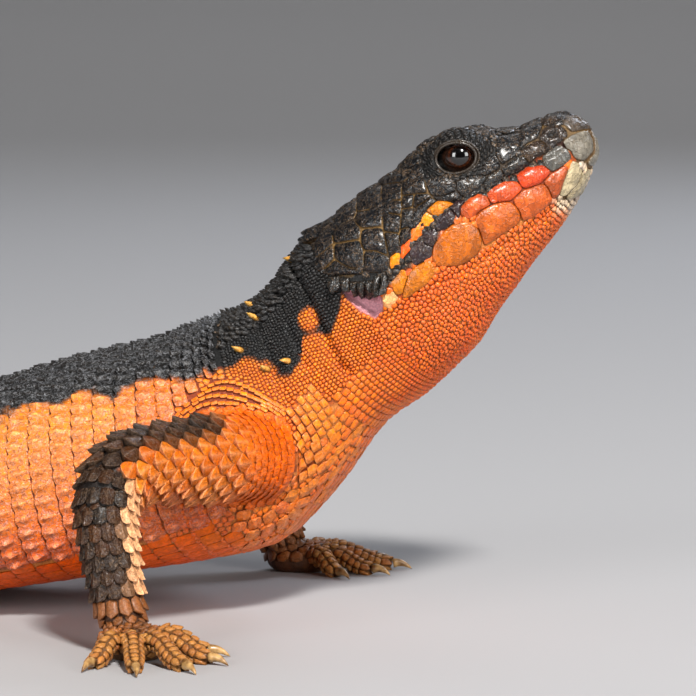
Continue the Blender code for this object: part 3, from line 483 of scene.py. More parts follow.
# %% Closed tubes for the flesh
SKIN_INSET = 0.22  # the depth of a scale
RING_SHARES = np.linspace(0.0, 1.0, 41)
along_rings = np.concatenate([np.linspace(0.25, 60.0, 110), np.linspace(60.9, ALONG[-1] - 1.0, 250)])
body_rings = []
for place in along_rings:
    left, left_normal, _ = body_at(place, RING_SHARES, 1.0)
    right, right_normal, _ = body_at(place, RING_SHARES[-2:0:-1], -1.0)
    ring = np.vstack([left - left_normal * SKIN_INSET, right - right_normal * SKIN_INSET])
    ring[0] = (left[1] + right[-1]) / 2
    ring[len(left) - 1] = (left[-2] + right[0]) / 2
    body_rings.append(ring)
last_middle = body_rings[-1].mean(axis=0)
snout = body_rings[0].mean(axis=0) + np.array([0.7, 0.0, 0.3])
tail_tip = last_middle + unit(last_middle - body_rings[-6].mean(axis=0)) * 3.5
flesh = [tube("flesh_body", body_rings, (snout, tail_tip))]
print("rings of the body:", len(body_rings))

# %% Flesh of legs, palms and toes
around = np.linspace(0, 2 * np.pi, 28, endpoint=False)
palm_turn = 2 * np.pi * np.arange(24) / 24
for limb_name, (leg, foot, _) in LIMBS.items():
    rings = [leg.ring(s, around, -SKIN_INSET)[0] for s in np.linspace(0.0, 1.0, 50)]
    narrow = (rings[-1] - foot.wrist) * 0.9
    down = foot.wrist + foot.ahead * 2.2 + foot.forward * 0.6
    rings += [narrow + down, narrow * 0.6 + foot.middle * 0.5 + down * 0.5]
    parts = [tube("flesh_leg", rings)]
    for path, _ in foot.toes:
        parts.append(tube("flesh_toe", round_rings(path, toe_radii(len(path)) - 0.15, 14)))
    palm_rings = []
    for polar in np.linspace(0.05, np.pi - 0.05, 14):
        level = np.full(len(palm_turn), np.cos(polar))
        local = np.stack([np.sin(polar) * np.cos(palm_turn), np.sin(polar) * np.sin(palm_turn), level], 1)
        local = local * (np.array(foot.pad) - 0.2)
        palm_rings.append(
            foot.middle + local[:, :1] * foot.forward + local[:, 1:2] * foot.aside
            + UP * (local[:, 2:] + foot.pad[2] * PALM_LIFT)
        )
    parts.append(tube("flesh_palm", palm_rings))
    if "hind" in limb_name:
        for part in parts:
            set_points(part.data, sway(vertex_array(part.data)))
    flesh += parts
print("pieces of flesh to melt:", len(flesh))

# %% Lids over the eyes
for side in (1.0, -1.0):
    bpy.ops.object.select_all(action="DESELECT")
    bpy.ops.mesh.primitive_uv_sphere_add(
        segments=48, ring_count=24, radius=(LID_RADIUS - 0.2) * MM, location=(EYE * (1, side, 1) + SHIFT) * MM
    )
    lid = bpy.context.active_object
    lid.scale = (1.06, 0.96, 1.0)
    bpy.ops.object.transform_apply(location=True, rotation=True, scale=True)
    flesh.append(lid)
print("with lids:", len(flesh))

# %% Melt into one skin
SKIN_VOXEL = 0.5
bpy.ops.object.select_all(action="DESELECT")
for part in flesh:
    part.select_set(True)
skin = flesh[0]
bpy.context.view_layer.objects.active = skin
bpy.ops.object.join()
skin.name = skin.data.name = "skin"
remesh = skin.modifiers.new("melt", "REMESH")
remesh.mode = "VOXEL"
remesh.voxel_size = SKIN_VOXEL * MM
bpy.ops.object.modifier_apply(modifier="melt")
smooth = skin.modifiers.new("soften", "SMOOTH")
smooth.factor, smooth.iterations = 0.5, 3
bpy.ops.object.modifier_apply(modifier="soften")
print("skin vertices:", len(skin.data.vertices))


# %% [markdown]
# ## Folds, sockets and ears
# What the melt can't know is pressed into the skin: the almond between the lids, the ear's pit,
# the grooves of the neck and the curved folds where the shoulder moves under the skin.

# %% Small helpers for the folds
def vertex_normals(mesh):
    flat = np.empty(len(mesh.vertices) * 3, np.float32)
    mesh.vertex_normals.foreach_get("vector", flat)
    return flat.reshape(-1, 3).astype(float)


def to_line(points, line):
    """How far points in x and z lie from a bent line."""
    best = np.full(len(points), 1e9)
    for start, end in zip(line[:-1], line[1:]):
        start, step = np.array(start), np.array(end) - np.array(start)
        t = np.clip(((points - start) @ step) / (step @ step), 0, 1)
        best = np.minimum(best, np.linalg.norm(points - start - t[:, None] * step, axis=1))
    return best


def almond_share(points):
    """0 in the middle of the eye's opening and 1 at the lids' edge, for points seen from the side."""
    dx, dz = points[:, 0] - EYE[0], points[:, 2] - EYE[2]
    along_lid = dx * np.cos(LID_TILT) + dz * np.sin(LID_TILT)
    across_lid = -dx * np.sin(LID_TILT) + dz * np.cos(LID_TILT)
    return np.sqrt((along_lid / EYE_OPENING[0]) ** 2 + (across_lid / EYE_OPENING[1]) ** 2)


# %% Press the features into the skin
LIP_LINE = ((49.4, 68.0), (46.0, 66.6), (42.4, 64.4), (38.2, 62.1), (34.0, 59.9), (31.2, 58.6))
GROOVES = (
    # a line in x and z on both sides, its half width and its depth
    (((8.2, 49.0), (11.2, 44.6), (14.6, 38.2), (16.5, 35.0)), 0.75, 1.0),
    (((3.4, 42.0), (5.4, 38.0), (7.6, 34.0), (9.0, 31.0)), 0.7, 0.6),
    (((6.0, 45.5), (8.6, 40.5), (11.2, 36.0)), 0.5, 0.4),
    (((21.5, 42.2), (24.2, 44.0), (29.0, 47.4), (34.5, 50.3), (40.1, 54.4), (45.2, 58.8)), 0.55, 0.35),
    (LIP_LINE, 0.35, 0.45),
)
GROOVES_END_X = -26.0
EAR_DEPTH, EAR_MIN_Y = 2.0, 8.0
FLOOR_CLEARANCE = 0.02
SKIN_FACES = 95000


def relief(points):
    """Height of the grooves below the plain skin, at points of the drawing."""
    flat = points[:, [0, 2]]
    height = np.zeros(len(points))
    for line, half_width, depth in GROOVES:
        height -= depth * np.exp(-((to_line(flat, line) / half_width) ** 2))
    return height * (points[:, 0] > GROOVES_END_X)


points, normals = vertex_array(skin.data), vertex_normals(skin.data)
points = points + normals * relief(points)[:, None]
side = np.where(points[:, 1] > 0, 1.0, -1.0)
outer = np.abs(points[:, 1])
in_socket = (outer > EYE[1] - 1) * (1 - smooth_step(0.95, 1.12, almond_share(points)))
points[:, 1] = side * (outer * (1 - in_socket) + (EYE[1] + 0.6) * in_socket)
in_ear = (outer > EAR_MIN_Y) * (1 - smooth_step(0.6, 1.05, ear_share(points)))
points[:, 1] -= side * in_ear * EAR_DEPTH
points[:, 2] = np.maximum(points[:, 2], FLOOR_CLEARANCE)
set_points(skin.data, points)
skin.data.update()
thin = skin.modifiers.new("thin", "DECIMATE")
thin.ratio = min(1.0, SKIN_FACES / len(skin.data.polygons))
bpy.ops.object.modifier_apply(modifier="thin")
print("skin faces:", len(skin.data.polygons))

# %% [markdown]
# ## Finding the skin
# Each scale has to sit on the skin. A bounding-volume tree answers where the nearest skin is, and
# the skin's own normals, averaged over each face, say which way a scale looks.

# %% Nearest skin
skin_points = vertex_array(skin.data)
skin_normals = vertex_normals(skin.data)
skin_faces = [tuple(p.vertices) for p in skin.data.polygons]
skin_tree = BVHTree.FromPolygons([tuple(p) for p in skin_points], skin_faces)
face_normals = unit(np.array([skin_normals[list(f)].mean(axis=0) for f in skin_faces]))


def on_skin(points):
    """The nearest points of the skin and its normals there."""
    found = np.empty((len(points), 3))
    faces = np.empty(len(points), int)
    nearest = skin_tree.find_nearest
    for n, point in enumerate(np.asarray(points, float).tolist()):
        hit, _, face, _ = nearest(point)
        found[n] = hit
        faces[n] = face
    return found, face_normals[faces]


def seen_from_side(x, z, side):
    """Where a level line from well outside the animal's side first meets its skin."""
    hit = skin_tree.ray_cast(Vector((x, 40.0 * side, z)), Vector((0.0, -side, 0.0)))[0]
    return None if hit is None else np.array(hit)


print("skin tree ready")


# %% [markdown]
# ## Colours
# Living scales are keratin over pigment. Black ones have horn-brown seams, and their blue sheen is
# painted into a pale bluish crest colour; orange ones are paler on their crests. These pale crests are
# partly worn horn and partly painted glints, and the darkest seams are partly painted shade. One
# function turns sRGB hex to linear light.

# %% Palette
def linear(hex_code):
    value = np.array([int(hex_code[k : k + 2], 16) for k in (1, 3, 5)]) / 255
    return np.where(value <= 0.04045, value / 12.92, ((value + 0.055) / 1.055) ** 2.4)


BLACK = linear("#0A0A0A")
SLATE = linear("#0D0E11")
SOOT = linear("#16110D")
SNOUT_BROWN = linear("#30231B")
HORN_BROWN = linear("#6B4F2C")
GOLD_SEAM = linear("#8A6A3A")
ORANGE = linear("#EA6400")
LIGHT_ORANGE = linear("#F68E22")
RED_ORANGE = linear("#EC5400")
AMBER = linear("#F08A00")
PEACH = linear("#F2904A")
CREAM = linear("#DCC9A0")
GREY_WHITE = linear("#B4B0A4")
MENTAL_GREY = linear("#7A7468")
EAR_PINK = linear("#DCA0AC")
LIMB_BROWN = linear("#2A201A")
HAND_BROWN = linear("#A86028")
TAN = linear("#C48A44")
SPINE_YELLOW = linear("#E4B04C")
PURPLE_BLACK = linear("#2A1C20")
# Dark seam colour: partly the seam skin's own colour, partly painted shade in the grooves between scales.
DARK_SEAM_AND_SHADE = linear("#8A3200")
# Pale crest colours: partly worn horn, partly painted glints; the slate one is a painted bluish glint on
# black scales.
HORN_WEAR_AND_GLINT = linear("#FFD0A2")
SLATE_WEAR_AND_GLINT = linear("#E2E6EE")
PALE_SEAM = linear("#E08A3C")
CHEST_SEAM = linear("#C87834")


def blend(first, second, share):
    share = np.asarray(share, float)[..., None]
    return first * (1 - share) + second * share


def patches(noise, first, second, middle, swing):
    """Two colours in soft patches; the middle is the second one's share where the noise is 0."""
    return blend(first, second, np.clip(middle + swing * noise, 0, 1))


# %% [markdown]
# ## Seeds
# A scale starts as a seed: a place on the skin, the way it points, its size and its form. Girdles,
# whorls and rows are grids on the body's formula, as the real scales are, and the shields of the
# head are set one by one, because each has its own place and name on a girdled lizard.

# %% The seed bed
FORMS = dict(
    size=1.5, stretch=1.0, room=1.6, thick=0.3, tilt=0.2, keel=0.2, point=0.0, lap=0.0, rough=0.05, gap=0.16,
    dome=0.1, mound=0.0, roof=0.0, soft=0.0, rim=0.0, tip=0.0, claim=0.0, half_u=0.0, half_v=0.0, taper=8.0,
    shape=-1, marked=0.0, square=9.0, rank=1.0,
)
FIELDS = (*FORMS, "side_gap", "piece")
seeds = {name: [] for name in ("place", "normal", "back", "colour", "seam", "unwrap", *FIELDS)}
PIECES = []


def sow(piece, place, normal, back, colour, seam, unwrap, **form):
    """Adds seeds; a form value may be one number or one for each seed."""
    if piece not in PIECES:
        PIECES.append(piece)
    count = len(place)
    for name, value in (("place", place), ("normal", normal), ("back", back), ("unwrap", unwrap)):
        seeds[name].append(np.asarray(value, float))
    seeds["colour"].append(np.broadcast_to(colour, (count, 3)))
    seeds["seam"].append(np.broadcast_to(seam, (count, 3)))
    own = {**FORMS, "side_gap": form.get("gap", FORMS["gap"]), **form, "piece": PIECES.index(piece)}
    for name in FIELDS:
        seeds[name].append(np.broadcast_to(np.asarray(own[name], float), count))


def sown():
    return sum(len(part) for part in seeds["place"])


print("values of each seed:", len(seeds))


# %% Places on the unwrap
SHEET_LEFT, SHEET_LONG, SHEET_MIDDLE, SHEET_HIGH = 0.02, 0.94, 0.31, 0.29


def body_unwrap(along, share, side):
    """The body's own unwrap: its length across the sheet, its girth up it."""
    across = SHEET_LEFT + SHEET_LONG * np.asarray(along) / ALONG[-1]
    return np.stack([across, SHEET_MIDDLE + SHEET_HIGH * np.asarray(share) * side], axis=1)


def leg_unwrap(number, share, angle):
    """Each leg has a strip of its own above the body."""
    u = 0.02 + 0.24 * number + 0.14 * np.asarray(share)
    return np.stack([u, 0.64 + 0.30 * (np.asarray(angle) % (2 * np.pi)) / (2 * np.pi)], axis=1)


print("the belly's middle on the unwrap:", body_unwrap([ALONG[-1] / 2], [1.0], 1.0)[0])

# %% [markdown]
# ## Markings
# The back is black and the flanks are orange, with a ragged edge between them whose height was
# read from the photograph. Soft noise makes the edge ragged and the colours uneven. A painted
# picture could do this too, but a formula gives skin and scales the same markings at any place.

# %% Where black meets orange
BLACK_EDGE = (
    (-30.0, 28.4), (-23.0, 30.2), (-20.0, 31.4), (-15.7, 31.4), (-12.8, 32.6), (-10.0, 33.4), (-5.7, 33.6),
    (-2.8, 35.3), (-0.7, 34.9), (3.8, 36.3), (7.2, 35.2), (9.0, 35.0), (10.3, 36.6), (10.6, 39.8),
    (14.6, 40.3), (15.4, 42.2), (16.2, 45.6), (22.0, 46.6), (23.4, 46.8), (25.0, 49.0), (28.0, 51.4),
    (30.0, 54.5), (33.0, 57.0), (37.8, 60.8), (43.4, 64.8), (50.0, 67.5),
)
BACK_EDGE_SHARE = 0.285
NECK_SPOT = (11.2, 42.2)


def darkness(points, share, along):
    """1 on the black back, 0 on the orange flanks, with a ragged edge."""
    ragged = mottle(points, 2.6, 11) + 0.6 * mottle(points, 1.1, 12)
    edge_z = np.interp(points[:, 0], *zip(*BLACK_EDGE))
    front = smooth_step(-0.5, 0.7, points[:, 2] - edge_z + 1.0 * ragged)
    spot = np.hypot((points[:, 0] - NECK_SPOT[0]) / 1.4, (points[:, 2] - NECK_SPOT[1]) / 1.6)
    front = front * smooth_step(0.7, 1.2, spot + 0.25 * ragged)
    edge = BACK_EDGE_SHARE + 0.06 * smooth_step(along_at_top(-70.0), along_at_top(-110.0), along)
    rear = 1 - smooth_step(-0.02, 0.015, share - edge + 0.03 * ragged)
    return blend(rear[:, None], front[:, None], smooth_step(-34.0, -28.0, points[:, 0]))[:, 0]


def tail_tint(along):
    """0 on the trunk and 1 on the brown part of the tail."""
    return smooth_step(along_at_top(-82.0), along_at_top(-112.0), along)


def body_colour(points, share, along, whole=1.0):
    """Colour and seam colour of the trunk, neck and tail; the black is left out where whole is 0."""
    fleck = mottle(points, 0.9, 21)
    broad = mottle(points, 9.0, 22)
    flank = blend(ORANGE, LIGHT_ORANGE, np.clip(0.62 + 0.15 * fleck + 0.35 * broad, 0, 1))
    low = blend(RED_ORANGE, ORANGE, np.clip(0.4 + 0.3 * fleck + 0.35 * broad, 0, 1))
    orange = blend(flank, low, smooth_step(0.42, 0.72, share))
    front = smooth_step(-8.0, 6.0, points[:, 0])
    orange = blend(orange, patches(fleck, ORANGE, AMBER, 0.55, 0.5), 0.6 * front)
    throat = smooth_step(15.0, 28.0, points[:, 0])
    orange = blend(orange, patches(fleck, RED_ORANGE, ORANGE, 0.4, 0.6), 0.7 * throat)
    dark = darkness(points, share, along)
    colour = blend(orange, patches(fleck, BLACK, SOOT, 0.5, 0.6), dark * whole)
    belly = smooth_step(0.62, 0.70, share)
    # Seams on the orange: a dark seam colour and a half-dark copy of the orange, partly the seam's own colour
    # and partly painted shade in the grooves.
    seam_and_shade = blend(DARK_SEAM_AND_SHADE, ORANGE * 0.5, 0.8 * smooth_step(0.0, 10.0, points[:, 0]))
    seam = blend(blend(seam_and_shade, PALE_SEAM, (0.8 * belly)), BLACK * 0.7, dark)
    tail = tail_tint(along)
    under = smooth_step(0.55, 0.8, share)
    tail_colour = blend(patches(fleck, LIMB_BROWN, SOOT, 0.5, 0.5), TAN * 0.8, under)
    colour = blend(colour, tail_colour, tail * (1 - 0.4 * (1 - dark)))
    return colour, blend(seam, SOOT, tail)


print("points of the black edge:", len(BLACK_EDGE))

# %% [markdown]
# ## Rows round the body
# Scales of a girdled lizard stand in rings, like the hoops of a barrel. So a grid of places goes
# round the body: each row has as many scales as its girth has room for, half a scale out of step
# with the row before. A scale can also fill its own box of that grid, as a brick fills a wall.


# %% Rows of places round the body
LAST_SHARE = 0.998


def rows_round(along_places, pitch, low, high, stagger=0.5, jitter=0.0, salt=0):
    """Places in rows round the body between two shares of its half girth, on both sides.
    Each row of the answer: along, share, side, half the column's width, the row's own pitch."""
    made = []
    along_places = np.asarray(along_places, float)
    pitches = np.gradient(along_places) if len(along_places) > 1 else [pitch]
    for row, (place, own_pitch) in enumerate(zip(along_places, pitches)):
        girth = np.interp(place, GRID_ALONG, HALF_GIRTH)
        count = max(1, int(round((high - low) * girth / pitch)))
        share = low + (np.arange(count) + 0.5 + stagger * (row % 2)) / count * (high - low)
        shake = (chance(np.column_stack([share * 97, np.full((count, 2), place)]), salt) - 0.5) * jitter
        half = np.full(count, (high - low) * girth / count / 2)
        slid = share + 0.7 * shake[::-1] / girth
        made.append(np.column_stack([place + shake, slid, half, np.full(count, own_pitch)]))
    made = np.vstack(made)
    made = made[made[:, 1] < min(high + 0.01, LAST_SHARE)]
    both = np.vstack([made, made])
    sides = np.repeat((1.0, -1.0), len(made))
    return np.column_stack([both[:, :2], sides, both[:, 2:]])


MARKED = ("back_scutes", "neck_scales", "shoulder_scales")  # the black edge runs through these scales


def sow_round(piece, grid, colour_of=None, boxed=False, **form):
    """Sows scales of the body at rows_round places, with the body's own markings.
    A boxed scale fills its share of its row, whatever stands beside it."""
    along, share, side = grid.T[:3]
    place, normal, back = body_at(along, share, side)
    place = place + normal * relief(place)[:, None]
    marked = 1.0 * (piece in MARKED)
    colour, seam = body_colour(place, share, along, 1.0 - marked)
    if colour_of is not None:
        colour, seam = colour_of(place, colour, seam)
    if boxed:
        ahead, behind = (body_at(along + sign * grid[:, 4] / 2, share, side)[0] for sign in (-1.0, 1.0))
        form["half_u"] = grid[:, 3] - form.get("side_gap", form["gap"]) / 2
        form["half_v"] = np.linalg.norm(behind - ahead, axis=1) / 2 - form["gap"] / 2
    sow(piece, place, normal, back, colour, seam, body_unwrap(along, share, side), marked=marked, **form)


# %% [markdown]
# ## Girdles of the trunk
# Each girdle is a ring of keeled scutes with a raised hind edge, painted paler partly as wear and
# partly as highlight, and on the belly a ring of smooth square plates. The first girdles behind the
# neck are narrower than the rest.

# %% Girdles of the trunk
GIRDLE_PITCH = 3.15
BELLY_EDGE = 0.66
TRUNK_START_X, VENT_X = -4.5, -90.0
NARROW_BANDS = (1.1, 1.3, 1.6, 2.0, 2.4, 2.8)
trunk_rows = along_at_top(TRUNK_START_X) + np.concatenate([[0.0], np.cumsum(NARROW_BANDS)])
even_rows = np.arange(trunk_rows[-1] + GIRDLE_PITCH, along_at_top(VENT_X), GIRDLE_PITCH)
trunk_rows = np.concatenate([trunk_rows, even_rows])

grid = rows_round(trunk_rows, 2.1, 0.0, BELLY_EDGE, stagger=0.37)
flank = smooth_step(0.22, 0.36, grid[:, 1])
narrow = smooth_step(trunk_rows[6], trunk_rows[1], grid[:, 0])
sow_round(
    "back_scutes", grid, boxed=True, size=1.2 - 0.2 * narrow, thick=0.14, tilt=0.46 - 0.10 * flank,
    keel=0.52 + 0.06 * flank, mound=0.9 * flank, point=0.10, rough=0.15, gap=0.24, side_gap=-0.06,
    dome=0.05, soft=0.95, rim=0.35,
)
sow_round(
    "belly_plates", rows_round(trunk_rows[3:], 2.5, BELLY_EDGE, 1.0), boxed=True, size=1.3, thick=0.14,
    tilt=0.16, keel=0.0, rough=0.03, gap=0.10, side_gap=0.09, dome=0.06, soft=0.2,
)
print("trunk seeds:", sown())

# %% [markdown]
# ## Neck and throat
# The neck has granules finer than a pinhead, with rows of small spikes over its nape. Under the
# chin the granules are round. Towards the chest they grow, row by row, into square plates.

# %% Fine scales of the neck
HEAD_END = along_at_top(9.4)
FINE_PITCH = 0.54
neck_rows = np.arange(HEAD_END + 0.3, along_at_top(TRUNK_START_X) - GIRDLE_PITCH * 0.55, FINE_PITCH)
grid = rows_round(neck_rows, FINE_PITCH, 0.0, 0.64, jitter=0.2, salt=41)
sow_round(
    "neck_scales", grid, size=0.30, room=1.7, thick=0.10, tilt=0.10, keel=0.0, point=0.1, rough=0.04,
    gap=0.07, dome=0.18,
)
nape = rows_round(neck_rows[::2], 1.15, 0.0, 0.24, jitter=0.5, salt=42)
sow_round(
    "neck_scales", nape, rank=1.4, size=0.46, thick=0.18, tilt=0.6, keel=0.25, point=0.6, rough=0.05,
    gap=0.12, dome=0.12, tip=0.02, rim=0.1,
)
throat_end, chest_end = HEAD_END + 0.3, trunk_rows[3] - 1.4
grids, step = [], throat_end
while step < chest_end:
    growth = float(smooth_step(throat_end + 1.0, chest_end, step))
    pitch = 0.70 + 1.75 * growth
    row = rows_round([step], 0.66 + 1.64 * growth, 0.62 - 0.12 * growth, 1.0)
    row[:, 1] += (len(grids) % 2) * row[:, 3] / np.interp(step, GRID_ALONG, HALF_GIRTH)
    row[:, 4] = pitch
    grids.append(np.column_stack([row, np.full(len(row), growth)]))
    step += pitch
grid = np.vstack(grids)
grid = grid[grid[:, 1] < LAST_SHARE]
growth = grid[:, 5]
sow_round(
    "throat_scales", grid, boxed=True, size=0.36 + 0.81 * growth, room=1.9, thick=0.13 + 0.03 * growth,
    tilt=0.10 + 0.08 * growth, keel=0.0, rough=0.03, gap=0.05, side_gap=0.07, dome=0.15 - 0.05 * growth,
    taper=3.5 + 3.0 * growth, rim=0.4,
)

# %% Granules of the throat
JAW_LINE = ((21.5, 41.8), (24.2, 43.6), (29.0, 47.0), (34.5, 49.8), (40.1, 53.8), (45.2, 58.3), (48.0, 62.4))


def throat_colour(place, colour, seam):
    """The chin's front is cream and mottled with grey."""
    chin = smooth_step(42.6, 44.8, place[:, 0] + 0.35 * (place[:, 2] - 60) + 0.9 * mottle(place, 1.5, 46))
    pale = patches(mottle(place, 1.2, 47), CREAM, GREY_WHITE, 0.5, 0.8)
    return blend(colour, pale, 0.9 * chin), blend(seam, HORN_BROWN, chin)


grid = rows_round(np.arange(2.6, HEAD_END + 0.2, 0.68), 0.66, 0.38, 1.0, jitter=0.5, salt=45)
place, _, _ = body_at(*grid.T[:3])
below = place[:, 2] < np.interp(place[:, 0], *zip(*JAW_LINE)) + 1.6
below |= (place[:, 0] < 21.5) & (place[:, 2] < 43.4)
sow_round(
    "throat_scales", grid[below], throat_colour, size=0.35, room=1.7, thick=0.13, tilt=0.18, keel=0.0,
    point=0.08, rough=0.05, gap=0.05, dome=0.18, rim=0.6,
)
print("with neck and throat:", sown())

# %% [markdown]
# ## Folds round the shoulder
# Where the foreleg swings, the skin lies in folds that circle the joint. Fine folds of small
# scales stand above and behind it, and ever larger rows of scales curve round its front. So these
# rows are circles round the shoulder, seen from the side, and not rings round the body.

# %% Rows round the shoulder
SHOULDER = np.array((1.0, 22.0))
SHOULDER_ALONG = 60.0  # this part of the body, for its markings and its unwrap

SHOULDER_FOLDS = (
    # first angle, last angle, first ring, last ring, ring pitch, scale length
    (46.0, 170.0, 6.0, 11.2, 0.66, 0.95),
    (18.0, 46.0, 6.2, 15.0, 0.95, 1.2),
    (-14.0, 18.0, 5.6, 19.0, 1.2, 1.55),
    (-84.0, -14.0, 5.2, 22.5, 1.5, 1.9),
)
for low_angle, high_angle, first, last, pitch, long in SHOULDER_FOLDS:
    fine = pitch < 0.8
    turn = np.radians(high_angle - low_angle)
    for side in (1.0, -1.0):
        made = []
        for ring_number, reach in enumerate(np.arange(first, last, pitch)):
            count = int(turn * reach / long)
            step = (np.arange(count) + 0.5 * (ring_number % 2)) / count
            angle = np.radians(low_angle + step * (high_angle - low_angle))
            wave = 0.25 * np.sin(3 * angle + 0.35 * reach)
            wobble = reach + wave + 0.45 * fine * np.sin(5 * angle + 1.1 * reach)
            half = turn * reach / count / 2
            for a, r in zip(angle, wobble):
                hit = seen_from_side(SHOULDER[0] + r * np.cos(a), SHOULDER[1] + 1.05 * r * np.sin(a), side)
                if hit is not None and 3.2 < abs(hit[1]) < 22.5:
                    made.append((*hit, np.cos(a), 0.0, np.sin(a), r, half))
        made = np.array(made)
        place, out, reaches, half = made[:, :3], unit(made[:, 3:6]), made[:, 6], made[:, 7]
        _, normal = on_skin(place)
        # A row that turns away from the side view is really wider than it looks from there.
        slope = np.clip(np.abs(normal[:, 1]), 0.35, 1.0)
        out = unit(out - dot(out, normal)[:, None] * normal)
        share = np.clip((42 - place[:, 2]) / 44, 0.05, 0.6)
        along = np.full(len(place), SHOULDER_ALONG)
        colour, seam = body_colour(place, share, along, 0.0)
        dark = darkness(place, share, along)
        flat = smooth_step(9.5, 14.0, reaches) * (not fine)
        # Seams of the folds are dark, partly their own colour and partly painted shade; the flat front rows
        # have pale seams.
        seam = blend(blend(blend(seam, DARK_SEAM_AND_SHADE, 0.9), CHEST_SEAM, flat), BLACK, dark)
        gap = 0.14 - 0.06 * flat
        unwrap = body_unwrap(SHOULDER_ALONG - place[:, 0] + (9.0 if fine else 0.0), share, side)
        sow(
            "shoulder_scales", place, normal, -out, colour, seam, unwrap, rank=1.3, marked=1.0,
            size=0.66 * pitch, half_u=half + (0.0 if fine else 0.02), half_v=(pitch - gap) / 2 / slope,
            thick=0.13, tilt=0.34 - 0.22 * flat, keel=0.0 if fine else 0.20 * (1 - flat),
            rough=0.12 - 0.09 * flat, gap=gap, side_gap=0.0 if fine else 0.04, dome=0.12 - 0.04 * flat,
            soft=0.8 if fine else 0.2, rim=0.3, claim=0.88 * pitch, taper=8.0 if fine else 5.0,
        )
print("with shoulders:", sown())


# %% Granules wherever the rows leave the skin bare
def from_eye(points, side):
    return np.linalg.norm(points - EYE * (1, side, 1), axis=1)


def filler_colour(place, colour, seam):
    """Granules near the mouth line are as dark as the lip above them."""
    lip = to_line(place[:, [0, 2]], LIP_LINE) < 1.7
    return np.where(lip[:, None], SLATE, colour), seam


grid = rows_round(np.arange(4.0, along_at_top(-14.0), 0.8), 0.85, 0.05, 0.98, jitter=0.2, salt=49)
place, _, _ = body_at(*grid.T[:3])
grid = grid[(place[:, 0] > -12.0) & (from_eye(place, 1) > 3.6) & (from_eye(place, -1) > 3.6)]
sow_round(
    "shoulder_scales", grid, filler_colour, rank=0.4, size=0.42, room=1.8, thick=0.10, tilt=0.14, keel=0.0,
    rough=0.05, gap=0.05, dome=0.16, rim=0.2,
)
print("with fillers:", sown())

# %% [markdown]
# ## Shields of the head
# Each shield of the head has its own place and name on a girdled lizard: labials along the lips,
# loreals between eye and nostril, temporals behind the eye. A pattern can't give them, so their
# corners were measured one by one in the photograph. They are laid on both sides of the head.

# %% Shields with measured corners
cut_corners = []


def cut_shields(piece, table, lean, colour, seam, **form):
    """Shields with corners of their own, on both sides; colour may be one for each shield."""
    for number, corners in enumerate(table):
        own_colour = colour[number] if np.ndim(colour) > 1 else colour
        for side in (1.0, -1.0):
            hits = [seen_from_side(x / 10, z / 10, side) for x, z in corners]
            low = [on_skin([(x / 10, side, z / 10)])[0][0] for x, z in corners]
            ring = np.array([near if hit is None else hit for hit, near in zip(hits, low)])
            place, normal = on_skin(ring.mean(axis=0)[None])
            back = [[-np.cos(np.radians(lean)), 0.0, -np.sin(np.radians(lean))]]
            area = np.linalg.norm(np.cross(ring - place, np.roll(ring, -1, axis=0) - place), axis=1).sum() / 2
            along = np.clip((49.0 - place[:, 0]) * 1.05, 0, 60)
            unwrap = body_unwrap(along, np.clip((72 - place[:, 2]) / 60, 0, 1), side)
            own = dict(rank=9.0, size=np.sqrt(area) / 2, keel=0.0, gap=0.06, tilt=0.0, shape=len(cut_corners))
            sow(piece, place, normal, back, own_colour, seam, unwrap, **{**own, **form})
            cut_corners.append(ring)


# %% The measured corners
# Each row is one shield: its corners in x and z, in tenths of a millimetre.
LIP_LEAN = 29.0
SNOUT_SHIELDS = (
    ((447, 701), (462, 700), (474, 691), (483, 681), (474, 682), (461, 676), (457, 684), (448, 691)),
    ((421, 696), (439, 701), (446, 701), (447, 691), (435, 689), (425, 688)),
    ((435, 689), (448, 690), (457, 684), (460, 675), (434, 659), (428, 667), (421, 672), (425, 687)),
    ((398, 654), (405, 662), (418, 669), (429, 666), (433, 660), (433, 656), (409, 639)),
)
UPPER_LABIALS = (
    ((398, 652), (409, 639), (392, 628), (379, 621), (374, 633), (388, 644)),
    ((373, 632), (378, 621), (368, 612), (359, 605), (349, 608), (357, 622)),
    ((317, 615), (340, 621), (356, 622), (349, 608), (340, 598), (326, 592), (317, 606)),
    ((286, 593), (302, 595), (317, 602), (325, 593), (315, 587), (293, 590)),
)
LOREALS = (
    ((392, 682), (415, 695), (424, 687), (420, 672), (404, 664), (397, 656)),
    ((365, 675), (391, 681), (397, 655), (387, 645), (374, 634), (366, 652)),
    ((349, 626), (356, 646), (366, 651), (374, 634), (356, 623)),
    ((279, 617), (297, 622), (317, 614), (317, 603), (300, 596), (284, 597), (276, 608)),
)
